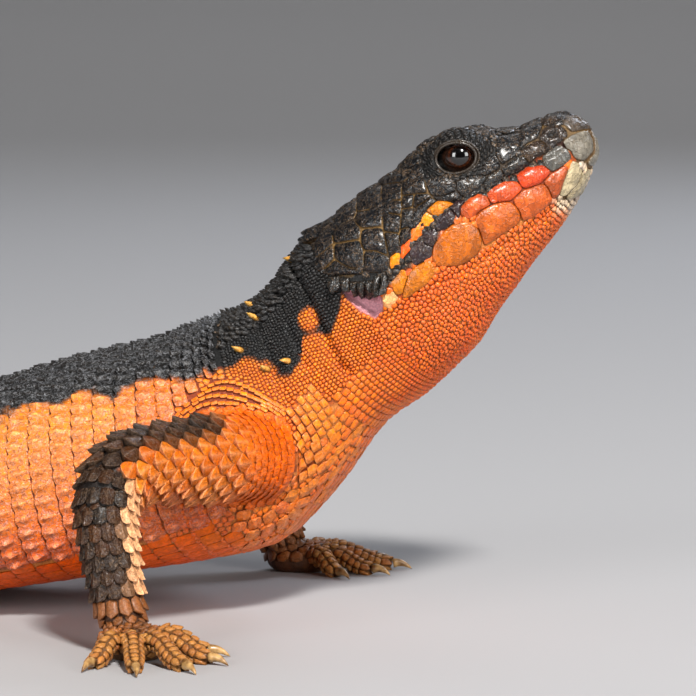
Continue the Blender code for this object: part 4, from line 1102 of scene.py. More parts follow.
TEMPLE = (
    ((242, 611), (254, 618), (274, 616), (280, 599), (261, 598), (243, 595)),
    ((207, 607), (213, 617), (237, 621), (251, 618), (239, 612)),
    ((263, 579), (285, 593), (292, 590), (277, 576), (269, 566), (260, 554)),
    ((261, 597), (279, 598), (284, 594), (263, 580), (259, 580)),
    ((243, 594), (260, 596), (259, 580), (245, 578)),
    ((245, 576), (259, 579), (258, 555), (244, 550)),
    ((244, 549), (257, 552), (252, 531), (243, 528)),
    ((210, 606), (239, 611), (243, 589), (215, 587)),
    ((215, 585), (243, 588), (243, 569), (219, 572)),
    ((217, 571), (243, 568), (242, 545), (221, 547)),
    ((222, 545), (242, 543), (242, 522), (230, 513), (226, 529)),
    ((171, 589), (205, 605), (214, 577), (178, 570)),
    ((174, 568), (215, 576), (217, 553), (189, 550), (176, 560)),
    ((189, 548), (217, 551), (221, 540), (227, 515), (210, 521), (193, 521), (187, 539)),
    ((194, 519), (210, 520), (229, 512), (228, 495), (211, 491), (195, 495)),
    ((137, 561), (170, 585), (176, 564), (174, 561), (144, 551)),
    ((143, 544), (173, 559), (187, 546), (186, 535), (149, 528)),
    ((147, 526), (186, 533), (192, 520), (194, 498), (172, 497), (151, 508)),
    ((131, 488), (151, 506), (172, 495), (193, 493), (192, 487), (148, 485)),
    ((117, 506), (116, 533), (139, 550), (145, 528), (137, 519)),
    ((118, 501), (146, 526), (149, 508), (130, 490), (119, 494)),
    ((117, 535), (114, 547), (130, 561), (142, 552), (134, 547)),
)
EAR_LOBES = (
    ((143, 481), (160, 486), (162, 472), (152, 463), (145, 472)),
    ((160, 486), (174, 486), (177, 468), (168, 470), (163, 472)),
    ((174, 486), (184, 488), (185, 466), (178, 467)),
    ((185, 488), (196, 488), (194, 464), (185, 466)),
    ((197, 488), (207, 488), (206, 464), (195, 464)),
    ((208, 488), (217, 487), (218, 465), (207, 464)),
    ((218, 487), (227, 485), (225, 468), (218, 466)),
)
CHIN_SHIELDS = (
    ((461, 675), (474, 681), (483, 680), (489, 670), (491, 653), (485, 644), (476, 641), (466, 646),
     (463, 654), (453, 664)),
    ((427, 644), (445, 658), (453, 660), (464, 650), (463, 645), (441, 627), (436, 632)),
    ((465, 641), (471, 637), (476, 629), (474, 619), (470, 610), (461, 601), (454, 594), (448, 595),
     (452, 606), (454, 615), (458, 624), (460, 634)),
    ((476, 629), (484, 628), (478, 613), (472, 602), (469, 595), (461, 591), (454, 588), (456, 595),
     (462, 601), (470, 610), (474, 619)),
)
LOWER_LABIALS = (
    ((395, 622), (406, 631), (422, 634), (437, 629), (435, 620), (424, 611), (407, 605), (402, 607)),
    ((358, 598), (368, 609), (384, 613), (398, 611), (402, 604), (393, 595), (387, 589), (363, 585),
     (359, 591)),
    ((331, 589), (348, 597), (358, 594), (362, 584), (349, 576), (338, 567), (324, 569), (323, 580)),
)
SUBLABIALS = (
    ((440, 626), (449, 630), (460, 636), (458, 624), (454, 615), (451, 606), (447, 595), (439, 588),
     (438, 596), (435, 605), (428, 615), (433, 620)),
    ((429, 612), (437, 601), (440, 587), (418, 568), (401, 561), (400, 572), (390, 589), (404, 603)),
    ((388, 587), (400, 572), (400, 560), (369, 539), (354, 527), (352, 541), (342, 564), (349, 575),
     (369, 586)),
    ((296, 538), (312, 554), (333, 559), (348, 551), (352, 529), (343, 512), (322, 501), (291, 503),
     (287, 511), (291, 529)),
    ((246, 454), (253, 481), (260, 494), (282, 508), (290, 499), (289, 488), (274, 473), (259, 461)),
)
MOUTH_CORNER = (
    ((309, 579), (316, 589), (326, 590), (330, 589), (323, 580), (323, 569), (318, 567), (313, 573)),
    ((297, 566), (311, 579), (319, 570), (313, 560), (294, 548), (291, 555)),
    ((275, 540), (289, 551), (294, 544), (291, 530), (276, 528)),
    ((258, 521), (274, 536), (285, 525), (286, 513), (278, 510), (262, 503)),
)
ORANGE_STRIPE = (
    ((277, 575), (293, 589), (315, 586), (304, 578), (289, 568)),
    ((270, 566), (276, 575), (289, 568), (277, 555), (266, 554)),
    ((261, 553), (269, 562), (276, 555), (267, 540), (258, 532)),
    ((246, 529), (258, 536), (255, 522), (247, 510)),
    ((231, 512), (241, 521), (243, 505), (232, 497)),
    ((235, 476), (246, 495), (253, 492), (252, 479), (246, 464), (238, 462)),
    ((218, 456), (234, 464), (239, 455), (229, 443), (218, 448)),
)

# %% Lay the shields of the head's sides
snout_colours = np.array((
    blend(SNOUT_BROWN, GREY_WHITE, 0.08), SNOUT_BROWN * 0.8, blend(SLATE, SNOUT_BROWN, 0.5),
    SNOUT_BROWN * 0.7,
))
chin_colours = np.array((MENTAL_GREY, blend(SLATE, GREY_WHITE, 0.16), CREAM * 0.75, CREAM * 0.7))
labial_colours = np.array([linear(code) for code in ("#C83E14", "#C84818", "#C8521C")])
sublabial_codes = ("#BC5220", "#BE541A", "#BC5610", "#C06008", "#C66C06")
sublabial_colours = np.array([linear(code) for code in sublabial_codes])
stripe_colours = np.array((
    blend(AMBER, SOOT, 0.4), AMBER, blend(AMBER, RED_ORANGE, 0.5), RED_ORANGE, AMBER,
    blend(AMBER, SOOT, 0.15), blend(AMBER, CREAM, 0.4),
))
cut_shields(
    "head_shields", SNOUT_SHIELDS, LIP_LEAN, snout_colours, GOLD_SEAM * 0.6, thick=0.28, rough=0.08,
    dome=0.24, gap=0.10,
)
cut_shields(
    "head_shields", UPPER_LABIALS, LIP_LEAN, blend(SLATE, GREY_WHITE, 0.015), HORN_BROWN * 0.25, thick=0.32,
    rough=0.08, dome=0.22, gap=0.10,
)
cut_shields(
    "head_shields", LOREALS, LIP_LEAN, SLATE, HORN_BROWN * 0.3, thick=0.28, rough=0.16, dome=0.22, gap=0.12,
)
cut_shields("head_shields", TEMPLE, 75.0, SLATE, GOLD_SEAM, thick=0.30, rough=0.16, dome=0.36, gap=0.13)
cut_shields(
    "head_shields", EAR_LOBES, 85.0, blend(SLATE, GREY_WHITE, 0.03), BLACK, thick=0.6, rough=0.04, dome=0.35,
    tilt=0.6, keel=0.3, gap=0.16, rank=10.0,
)
cut_shields(
    "jaw_shields", CHIN_SHIELDS, LIP_LEAN, chin_colours, HORN_BROWN, thick=0.28, rough=0.14, dome=0.16,
)
# Seams of the lower labials and sublabials take the dark seam colour, partly painted shade.
cut_shields(
    "jaw_shields", LOWER_LABIALS, LIP_LEAN, labial_colours, DARK_SEAM_AND_SHADE, thick=0.28, rough=0.05, dome=0.34,
)
cut_shields(
    "jaw_shields", SUBLABIALS, 35.0, sublabial_colours, DARK_SEAM_AND_SHADE, thick=0.30, rough=0.08, dome=0.36,
)
print("shields cut:", len(cut_corners))

# %% Shields across the middle of snout and chin
MEDIAN_SHIELDS = (
    ((462, 700), (474, 691), (483, 681)),
    ((483, 680), (489, 670), (491, 653), (487, 643), (483, 633)),
)
MEDIAN_SPREAD = 1.35
median_colours = (snout_colours[0], MENTAL_GREY)
for corners, piece, colour in zip(MEDIAN_SHIELDS, ("head_shields", "jaw_shields"), median_colours):
    near_edge, far_edge = (
        np.array([seen_from_side(x / 10, z / 10, side) for x, z in corners]) for side in (1.0, -1.0)
    )
    ring = np.vstack([near_edge, far_edge[::-1]]) * (1.0, MEDIAN_SPREAD, 1.0)
    place, normal = on_skin([(ring[:, 0].max() + 1.0, 0.0, ring[:, 2].mean())])
    area = np.ptp(ring[:, 1]) * np.ptp(ring[:, 2])
    sow(
        piece, place, normal, [[-0.3, 0.0, -1.0]], colour, HORN_BROWN, body_unwrap([1.0], [0.3], 1.0),
        rank=9.0, size=np.sqrt(area) / 2, thick=0.28, rough=0.10, dome=0.12, keel=0.0, tilt=0.0, gap=0.06,
        shape=len(cut_corners),
    )
    cut_corners.append(ring)
cut_shields("jaw_shields", MOUTH_CORNER, 50.0, PURPLE_BLACK, BLACK, thick=0.24, rough=0.2, dome=0.26)
cut_shields("jaw_shields", ORANGE_STRIPE, 50.0, stripe_colours, SOOT, thick=0.22, rough=0.10, dome=0.20)
print("with side shields:", sown())

# %% Temple rows, crown shields and the last row before the nape
MOUTH_TO_EAR = ((30.6, 59.2), (23.3, 48.4))
for side in (1.0, -1.0):
    grid = np.array([(HEAD_END - 1.9 - 3.1 * n, 0.095 + 0.066 * row) for row in range(7) for n in range(7)])
    place, normal, back = body_at(grid[:, 0], grid[:, 1], side)
    keep = ~((place[:, 2] < 50.0) & (place[:, 0] > 13)) & (to_line(place[:, [0, 2]], MOUTH_TO_EAR) > 1.1)
    keep &= from_eye(place, side) > 5.9
    keep &= (place[:, 2] - 58.5) > (place[:, 0] - 27.0) * 0.55 - 6.5
    place, normal, back, grid = place[keep], normal[keep], back[keep], grid[keep]
    colour = patches(mottle(place, 2.0, 51), SLATE, BLACK, 0.5, 0.6)
    sow(
        "head_shields", place, normal, back, colour, HORN_BROWN,
        body_unwrap(grid[:, 0], grid[:, 1], side), rank=2.0, size=1.2, room=1.5, thick=0.22, tilt=0.12,
        keel=0.2, point=0.05, rough=0.26, gap=0.12, dome=0.16, square=12.0,
    )
    crown_along = np.arange(3.2, HEAD_END - 3.6, 3.3)
    crown = np.array([(a, f) for a in crown_along for f in ((0.035, 0.09, 0.14) if a > 12 else (0.05, 0.14))])
    place, normal, back = body_at(crown[:, 0], crown[:, 1], side)
    keep = from_eye(place, side) > 4.9
    place, normal, back, crown = place[keep], normal[keep], back[keep], crown[keep]
    colour = patches(mottle(place, 2.0, 52), SLATE, SOOT, 0.5, 0.6)
    sow(
        "head_shields", place, normal, back, colour, HORN_BROWN,
        body_unwrap(crown[:, 0], crown[:, 1], side), rank=2.5, size=1.6, room=2.2, thick=0.28, tilt=0.06,
        keel=0.12, rough=0.24, gap=0.15, dome=0.14, square=12.0,
    )
    along, share = np.full(3, HEAD_END - 1.5), np.array((0.05, 0.15, 0.25))
    sow(
        "head_shields", *body_at(along, share, side), SLATE, HORN_BROWN, body_unwrap(along, share, side),
        rank=4.0, size=1.8, room=1.8, thick=0.34, tilt=1.1, keel=0.3, point=0.6, rough=0.16, gap=0.16,
        dome=0.12,
    )
print("with temples and crown:", sown())

# %% [markdown]
# ## Lids
# The lids are bare skin in fine wrinkles that circle the eye's opening. The wrinkles are rings of
# narrow scales, each ring a wider almond than the last. Two smooth rims, as thin as a pencil line,
# close the gap between the lids and the ball.


# %% Wrinkles and rims of the lids
def lid_line(scale, angle, rise=1.0):
    """An almond round the eye's opening, scaled: along and across the opening, then x and z."""
    wide, high = scale * EYE_OPENING[0] * np.cos(angle), scale * EYE_OPENING[1] * rise * np.sin(angle)
    x = EYE[0] + wide * np.cos(LID_TILT) - high * np.sin(LID_TILT)
    z = EYE[2] + wide * np.sin(LID_TILT) + high * np.cos(LID_TILT)
    return wide, high, x, z


for side in (1.0, -1.0):
    for ring_number, scale in enumerate((1.27, 1.40, 1.54, 1.68)):
        perimeter = 2 * np.pi * scale * (EYE_OPENING[0] + EYE_OPENING[1]) / 2
        count = int(perimeter / (0.80 + 0.06 * ring_number))
        angle = 2 * np.pi * (np.arange(count) + 0.5 * (ring_number % 2)) / count
        _, _, x, z = lid_line(scale, angle, 1.10)
        hits = [seen_from_side(a, b, side) for a, b in zip(x, z)]
        keep = [k for k, hit in enumerate(hits) if hit is not None and abs(hit[1]) > 4.5]
        place = np.array([hits[k] for k in keep])
        _, normal = on_skin(place)
        outward = unit(place - EYE * (1, side, 1))
        unwrap = body_unwrap(18.0 + 3 * np.cos(angle[keep]), 0.3 + 0.05 * np.sin(angle[keep]), side)
        sow(
            "lid_scales", place, normal, outward, blend(BLACK, SLATE, 0.6), BLACK, unwrap, rank=5.0,
            size=0.28 + 0.02 * ring_number, stretch=0.42, room=1.9, thick=0.12, tilt=0.0, keel=0.0,
            rough=0.04, gap=0.10, side_gap=0.0, dome=0.14, soft=0.5,
        )
print("with lids:", sown())


def loop_tube(name, path, radius, sides=10):
    """A closed ring of round section through a closed line."""
    count = len(path)
    ahead = unit(np.roll(path, -1, axis=0) - np.roll(path, 1, axis=0))
    out = unit(path - path.mean(axis=0))
    rise = np.cross(ahead, out)
    turn = 2 * np.pi * np.arange(sides)[:, None] / sides
    rings = path[:, None] + radius * (np.cos(turn) * out[:, None] + np.sin(turn) * rise[:, None])
    faces = []
    for i, j in np.ndindex(count, sides):
        here, ahead_one, after = i * sides, (i + 1) % count * sides, (j + 1) % sides
        faces.append((here + j, here + after, ahead_one + after, ahead_one + j))
    return mesh_piece(name, rings.reshape(-1, 3), faces)


lid_rims = []
angle = 2 * np.pi * np.arange(72) / 72
for side, word in ((1.0, "left"), (-1.0, "right")):
    for step, (scale, thickness) in enumerate(((1.02, 0.20), (1.15, 0.17))):
        wide, high, x, z = lid_line(scale, angle)
        y = side * (EYE[1] + np.sqrt(np.maximum((LID_RADIUS - 0.05) ** 2 - wide**2 - high**2, 0.5)))
        lid_rims.append(loop_tube(f"lid_rim_{word}_{step + 1}", np.column_stack([x, y, z]), thickness))
print("lid rims:", len(lid_rims))

# %% Thorns of the neck
# A few pale thorns stand out of the dark granules of each side.
THORNS = ((3.0, 41.9), (1.7, 43.4), (1.6, 37.8), (8.6, 36.6), (7.6, 50.2), (5.7, 35.4))
for side in (1.0, -1.0):
    hits = [seen_from_side(x, z, side) for x, z in THORNS]
    place = np.array([hit for hit in hits if hit is not None])
    _, normal = on_skin(place)
    back = np.broadcast_to(unit([-0.9, 0.0, -0.1]), place.shape)
    unwrap = body_unwrap(90 - place[:, 0] * 0.5, np.clip((60 - place[:, 2]) / 60, 0, 1), side)
    sow(
        "neck_scales", place, normal, back, blend(SPINE_YELLOW, AMBER, 0.35), HORN_BROWN, unwrap, rank=6.0,
        size=0.46, room=1.2, thick=0.25, tilt=0.8, keel=0.15, point=1.3, rough=0.03, gap=0.1, dome=0.2,
        tip=0.8,
    )
print("with thorns:", sown())

# %% [markdown]
# ## Legs
# The legs are clad in overlapping pointed scales, flattest and most like roof tiles on the upper
# arm, and brown above and orange in front. The toes have bands of smooth scales. Each row is a
# ring across the leg's own middle line, so the rows fan out where the knee bends.



# %% Scales of the legs
def leg_colour(name, part, normal, place, share):
    """Brown above and behind, orange or cream on the front and under sides."""
    fleck = mottle(place, 0.9, 61)
    brown = patches(fleck, LIMB_BROWN * 0.6, HAND_BROWN * 0.16, 0.3, 0.6)
    side = 1.0 if "left" in name else -1.0
    if part == "upper":
        root_tint = 0.9 * (1 - smooth_step(0.18, 0.30, share)) * ("fore" in name)
        dark = smooth_step(0.05, 0.45, dot(normal, unit([-0.5, 0.0, 0.9])) + 0.2 * fleck - root_tint)
        warm = patches(fleck, ORANGE * 0.75, LIGHT_ORANGE * 0.9, 0.45, 0.4)
        warm = blend(ORANGE, warm, smooth_step(0.10, 0.30, share))
        return blend(warm, brown, dark)
    front = smooth_step(0.45, 0.7, dot(normal, unit([0.95, 0.25 * -side, 0.0])) + 0.08 * fleck)
    return blend(brown, blend(PEACH, CREAM, 0.4), front * ("fore" in name) + 0.5 * front * ("hind" in name))


def sow_limb(piece, hind, number, share, angle, place, normal, back, colour, **form):
    """Sows scales of a leg or foot, bent with the body where it is a hind one."""
    if hind:
        nudged = sway(place + back * 0.5)
        place = sway(place)
        back = unit(nudged - place)
    unwrap = leg_unwrap(number, np.full(len(place), share), angle)
    sow(piece, place, normal, np.broadcast_to(back, place.shape), colour, colour * 0.3, unwrap, **form)


# %% Rows of the legs
ROOT_SHARE = 0.17
LEG_ZONES = {
    # zone: column width, pitch, size, overlap, claim, taper
    "root": (1.5, 1.2, 0.8, 1.38, 0.9, 4.0),
    "upper": (2.8, 1.65, 1.1, 1.96, 1.3, 1.2),
    "lower": (1.95, 1.9, 0.98, 1.25, 1.3, 3.0),
}


def leg_row(name, leg, share, row, count, part):
    """One ring of places across a leg, half a scale out of step with the ring before."""
    angle = 2 * np.pi * (np.arange(count) + 0.5 * (row % 2)) / count
    place, normal, back = leg.ring(share, angle)
    colour = leg_colour(name, part, normal, sway(place) if "hind" in name else place, share)
    return angle, place, normal, back, colour


def clad_leg(piece, number, name, leg):
    """Large pointed scales in overlapping rows, and small ones wherever those leave a gap."""
    hind, share, row = "hind" in name, 0.04, 0
    while share < 1.0:
        upper = share < leg.knee
        zone = "root" if share < ROOT_SHARE else "upper" if upper else "lower"
        wide, pitch, size, overlap, claim, taper = LEG_ZONES[zone]
        count = max(10, int(round(2 * np.pi * leg.radius(share) / wide)))
        places = leg_row(name, leg, share, row, count, "upper" if upper else "lower")
        forming = float(smooth_step(0.14, 0.24, share))
        half = np.pi * leg.radius(share) / count
        sow_limb(
            piece, hind, number, share, *places, rank=1.5, size=size, half_u=half * (1.08 if upper else 1.0),
            half_v=pitch / 2 * overlap, thick=0.12, gap=0.1, dome=0.02, claim=claim, taper=taper,
            tilt=(0.55 if upper else 0.45) * forming + 0.32 * (1 - forming),
            roof=(0.75 if upper else 0.22) * forming + 0.1, keel=0.0 if upper else 0.20,
            rough=0.08 if upper else 0.16, rim=1.0 * forming if upper else 0.4,
        )
        share += pitch / leg.length
        row += 1
    for row, share in enumerate(np.arange(0.08, 0.98, 0.95 / leg.length)):
        count = int(2 * np.pi * leg.radius(share) / 1.0)
        places = leg_row(name, leg, share, row, count, "upper" if share < leg.knee - 0.08 else "lower")
        sow_limb(
            piece, hind, number, share, *places, rank=0.4, size=0.5, room=1.7, thick=0.12, tilt=0.3, keel=0.1,
            rough=0.06, gap=0.06, dome=0.1, rim=0.3,
        )


# %% Rows of wrists, toes and palms
TOE_ANGLES = np.radians((-40.0, 20.0, 90.0, 160.0, 220.0, 270.0))


def clad_foot(piece, number, hind, leg, foot):
    """Rings on the wrist, bands along each toe, and a round bed of scales on the palm's back."""
    angle = 2 * np.pi * np.arange(12) / 12
    ring, spoke, ahead = leg.ring(1.0, angle)
    for step, drop in enumerate((1.0, 2.6, 4.0)):
        place = foot.wrist + (ring - foot.wrist) * (1.0 - 0.05 * step) + foot.ahead * drop
        place = place + foot.forward * 0.5 * step
        colour = np.broadcast_to(blend(LIMB_BROWN, HAND_BROWN, 0.6), place.shape)
        sow_limb(
            piece, hind, number, 1.0 + 0.01 * step, angle, place, spoke, ahead, colour, rank=0.8, size=0.85,
            thick=0.22, tilt=0.4, keel=0.3, point=0.3, lap=0.15, rough=0.06, gap=0.1, dome=0.1,
        )
    for toe_number, (path, length) in enumerate(foot.toes):
        walk, last = np.linspace(0, 1, len(path)), len(path) - 1
        for share in np.arange(0.22, 0.97, 1.05 / length):
            local = int(share * last)
            direction = unit(path[min(local + 1, last)] - path[max(local - 1, 0)])
            across = unit(np.cross(direction, UP))
            rise = np.cross(across, direction)
            spoke = np.cos(TOE_ANGLES)[:, None] * across + np.sin(TOE_ANGLES)[:, None] * rise
            radius = np.interp(share, walk, toe_radii(len(path)))
            place = read_line(share, walk, path) + spoke * radius
            bent = sway(place) if hind else place
            colour = patches(mottle(bent, 1.0, 63), HAND_BROWN, TAN, 0.5, 0.5)
            sow_limb(
                piece, hind, number, 1.12 + 0.09 * toe_number + 0.07 * share, TOE_ANGLES, place, spoke,
                direction, colour, rank=2.0, size=0.62, room=1.8, thick=0.18, tilt=0.26, keel=0.06,
                point=0.05, lap=0.12, rough=0.04, gap=0.12, side_gap=0.05, dome=0.14,
            )
    turn, out = np.meshgrid(np.arange(14), np.arange(5))
    angle = (turn + 0.5 * (out % 2)).ravel() * 2 * np.pi / 14
    reach = ((out.ravel() + 0.6) / 5.2) ** 0.8
    local = np.stack([reach * np.cos(angle) * foot.pad[0], reach * np.sin(angle) * foot.pad[1]], axis=1)
    height = foot.pad[2] * (PALM_LIFT + np.sqrt(np.maximum(1 - reach**2, 0.0)))
    place = foot.middle + local[:, :1] * foot.forward + local[:, 1:] * foot.aside + height[:, None] * UP
    colour = patches(mottle(place, 1.4, 64), HAND_BROWN, LIMB_BROWN, 0.4, 0.5)
    sow_limb(
        piece, hind, number, 1.05, angle, place, unit(place - foot.middle), foot.forward, colour, rank=1.0,
        size=0.8, thick=0.2, tilt=0.32, keel=0.16, point=0.2, lap=0.12, rough=0.05, gap=0.1, dome=0.12,
    )


for number, (limb_name, (leg, foot, _)) in enumerate(LIMBS.items()):
    hind = "hind" in limb_name
    clad_leg("hindleg_scales" if hind else "foreleg_scales", number, limb_name, leg)
    clad_foot("foot_scales" if hind else "hand_scales", number, hind, leg, foot)
print("with legs and feet:", sown())

# %% [markdown]
# ## Tail
# The tail is ringed by whorls of long keeled spines that stand out to its sides and lie flat under
# it. Each whorl is a little shorter and smaller than the last, so it is worked out from how much
# of the tail is left.

# %% Whorls of tail spines
TAIL_START, TAIL_END = along_at_top(VENT_X) + 1.0, ALONG[-1] - 3.0
tail_place, whorl = TAIL_START, 0
while tail_place < TAIL_END:
    size_left = 1 - 0.62 * (tail_place - TAIL_START) / (TAIL_END - TAIL_START)
    pitch = 5.0 * (0.55 + 0.45 * size_left)
    grid = rows_round([tail_place], 2.3 * size_left + 0.5, 0.0, 1.0, stagger=0.0, jitter=0.2, salt=71)
    under = smooth_step(0.62, 0.85, grid[:, 1])
    sow_round(
        "tail_spines", grid, rank=1.2, size=0.46 * pitch, stretch=1.4, room=1.8, thick=0.3,
        tilt=(1.6 - 1.25 * under) * size_left + 0.15, keel=0.55 * (1 - under), point=0.55 - 0.4 * under,
        lap=0.15, rough=0.08, gap=0.16, side_gap=0.1, dome=0.10, tip=0.30 * (1 - under),
    )
    tail_place += pitch
    whorl += 1
print("whorls:", whorl, "seeds:", sown())

# %% [markdown]
# ## Sorting the seeds
# Two grids overlap at each armpit and at the jaw. Seeds that lie under another limb's skin, in the
# ear or in the eye are dropped, and where two stand too close only the more important one stays.

# %% Settle the seeds on the skin
bed = {name: np.concatenate(values) for name, values in seeds.items()}
place, normal = on_skin(bed["place"])
depth = dot(bed["place"] - place, normal)
agree = dot(normal, bed["normal"])
away = np.linalg.norm(bed["place"] - place, axis=1)
good = (depth > -0.95) & (away < 1.9) & (agree > 0.2)
good |= (bed["rank"] >= 2.5) & (away < 3.0)
in_eye = (almond_share(place) < 1.10) & (np.abs(place[:, 1]) > 5)
in_ear = (ear_share(place) < 1.0) & (np.abs(place[:, 1]) > EAR_MIN_Y) & (bed["rank"] < 3.5)
good &= ~in_eye & ~in_ear & (place[:, 2] > 0.15)
bed = {name: values[good] for name, values in bed.items()}
bed["place"], bed["normal"] = place[good], unit(normal[good] + 0.35 * bed["normal"])
bed["back"] = unit(bed["back"] - dot(bed["back"], bed["normal"])[:, None] * bed["normal"])
bed["across"] = np.cross(bed["normal"], bed["back"])
print("seeds on the skin:", len(place), "kept:", len(bed["place"]))


# %% Where two stand too close, the lesser one goes
COVER_MARGIN = 0.12


def tree_of(points):
    """A tree that finds the points nearest to a place."""
    tree = kdtree.KDTree(len(points))
    for n, point in enumerate(points):
        tree.insert(point, n)
    tree.balance()
    return tree


def in_plane(n, points):
    """Points as scale n's own plane has them: across it, and backwards."""
    offset = points - bed["place"][n]
    return np.stack([offset @ bed["across"][n], offset @ bed["back"][n]], axis=1)


def flat_corners(n):
    """The corners of a measured shield in its own plane."""
    return in_plane(n, cut_corners[int(bed["shape"][n])])


near = tree_of(bed["place"])
standing = np.ones(len(bed["place"]), bool)
places, sizes, ranks, claims = (bed[name].tolist() for name in ("place", "size", "rank", "claim"))
for n in np.argsort(-bed["rank"], kind="stable").tolist():
    if not standing[n]:
        continue
    if bed["shape"][n] >= 0:
        corners = flat_corners(n)
        found = near.find_range(places[n], np.linalg.norm(corners, axis=1).max() + 0.4)
        others = [other for _, other, _ in found if bed["shape"][other] < 0 and standing[other]]
        others = np.array(others, int)
        flat = in_plane(n, bed["place"][others])
        covered = np.linalg.norm(flat, axis=1) < reach_to(corners, unit(flat)) + COVER_MARGIN
        standing[others[covered]] = False
        continue
    for _, other, far in near.find_range(places[n], sizes[n] * 2.2):
        if other == n or not standing[other] or ranks[other] > ranks[n] or bed["shape"][other] >= 0:
            continue
        lesser = ranks[other] < ranks[n]
        reach = (0.78 if lesser else 0.55) * (sizes[n] + sizes[other])
        if far < max(reach, claims[n] * lesser) and (lesser or other > n):
            standing[other] = False
bed = {name: values[standing] for name, values in bed.items()}
total = len(bed["size"])
print("scales:", total)

# %% [markdown]
# ## Growing a scale from each seed
# A scale fills the room that its neighbours leave it, so its outline is a Voronoi cell, measured
# along spokes from the seed. Long scales stretch the measure, so their cells come out long. The
# cell is then raised to a plate with a bevelled rim, a keel and a free hind edge that can run out
# to a point over the next scale. All are made at once as arrays.

# %% Neighbours of each scale
NEIGHBOURS = 22
near = tree_of(bed["place"])
neighbour = np.empty((total, NEIGHBOURS), int)
for n, point in enumerate(bed["place"]):
    neighbour[n] = [found[1] for found in near.find_n(point, NEIGHBOURS + 1)][1:]


def tensor(direction, factor):
    return direction[:, :, None] * direction[:, None, :] * factor[:, None, None]


measure = tensor(bed["back"], 1 / bed["stretch"]) + tensor(bed["across"], bed["stretch"])
measure = measure + tensor(bed["normal"], np.ones(total))
border_u, border_v = np.empty((total, NEIGHBOURS)), np.empty((total, NEIGHBOURS))
for k in range(NEIGHBOURS):
    other = neighbour[:, k]
    offset = bed["place"][other] - bed["place"]
    w = np.einsum("nij,nj->ni", (measure + measure[other]) / 2, offset)
    w_u, w_v = dot(w, bed["across"]), dot(w, bed["back"])
    w_long = np.maximum(np.hypot(w_u, w_v), 1e-6)
    lean = (w_v / w_long) ** 2
    gap = bed["gap"] * lean + bed["side_gap"] * (1 - lean)
    height = (dot(offset, w) + bed["size"] ** 2 - bed["size"][other] ** 2) / 2 - gap / 2 * w_long
    height = np.maximum(height, 0.10 * bed["size"] * w_long)
    ignored = (dot(bed["normal"], bed["normal"][other]) < -0.1) | (bed["shape"][other] >= 0)
    border_u[:, k] = np.where(ignored, 0.0, w_u / height)
    border_v[:, k] = np.where(ignored, 0.0, w_v / height)
print("neighbours found for", total)


# %% Outline of each scale
MEET = 1.2  # how near another shield stands whose edge is met half way


def cut_outline(n, spokes):
    """A measured shield: corners a little rounded, edges drawn out to meet the shields beside it."""
    corners = flat_corners(n)
    after = np.roll(corners, -1, axis=0)
    if (corners[:, 0] * after[:, 1] - corners[:, 1] * after[:, 0]).sum() > 0:
        corners = corners[::-1]
    closed = np.vstack([corners, corners[:1]])
    walk = walk_along(closed)
    line = read_line(np.arange(spokes) / spokes * walk[-1], walk, closed)
    line = 0.6 * line + 0.2 * (np.roll(line, 1, axis=0) + np.roll(line, -1, axis=0))
    direction, reach = unit(line), np.linalg.norm(line, axis=1)
    meet = np.full(spokes, np.inf)
    for other in np.flatnonzero(bed["shape"] >= 0):
        flat = in_plane(n, cut_corners[int(bed["shape"][other])])
        away = np.linalg.norm(cut_corners[int(bed["shape"][other])] - bed["place"][n], axis=1).min()
        limit = 4.0 if bed["shape"][other] == int(bed["shape"][n]) ^ 1 else MEET
        if other == n or away > reach.max() + limit:
            continue
        far = reach_to(flat, direction)
        meets = (far > 0.55 * reach) & (far < reach + limit)
        meet = np.minimum(meet, np.where(meets, (far + reach) / 2, np.inf))
    reach = np.where(np.isfinite(meet), meet, reach + 0.2)
    reach = 0.5 * reach + 0.25 * (np.roll(reach, 1) + np.roll(reach, -1))
    return np.maximum(reach - bed["gap"][n] / 2, 0.2), direction


def outline(chosen, spokes):
    """How far each scale reaches along each spoke, with its hind edge drawn out."""
    angle = 2 * np.pi * np.arange(spokes) / spokes
    get = lambda name: bed[name][chosen][:, None]
    boxed = get("half_u") > 0
    wide, long = np.where(boxed, get("half_u"), 1.0), np.where(boxed, get("half_v"), 1.0)
    direction = unit(np.stack([np.sin(angle) * wide, np.cos(angle) * long], axis=2))
    sideways, backwards = direction[..., 0], direction[..., 1]
    inverse = border_u[chosen][:, None] * sideways[..., None]
    inverse = np.maximum(inverse + border_v[chosen][:, None] * backwards[..., None], 0.0)
    power, stretch = get("square"), get("stretch")
    limit = np.sqrt(backwards**2 / stretch + sideways**2 * stretch) / (get("room") * get("size"))
    reach = (np.sum(inverse ** power[..., None], axis=2) + limit**power) ** (-1 / power)
    box_power = np.where(backwards > 0.0, get("taper"), np.where(get("taper") < 2.0, 1.5, 10.0))
    box = (np.abs(sideways) / wide) ** box_power + (np.abs(backwards) / long) ** box_power
    box = box ** (-1 / box_power)
    reach = np.where(boxed, box, reach)
    for row in np.flatnonzero(bed["shape"][chosen] >= 0):
        reach[row], direction[row] = cut_outline(chosen[row], spokes)
    hind = np.maximum(backwards, 0.0)
    return reach * (1 + get("point") * hind**5 + get("lap") * hind**1.5), direction


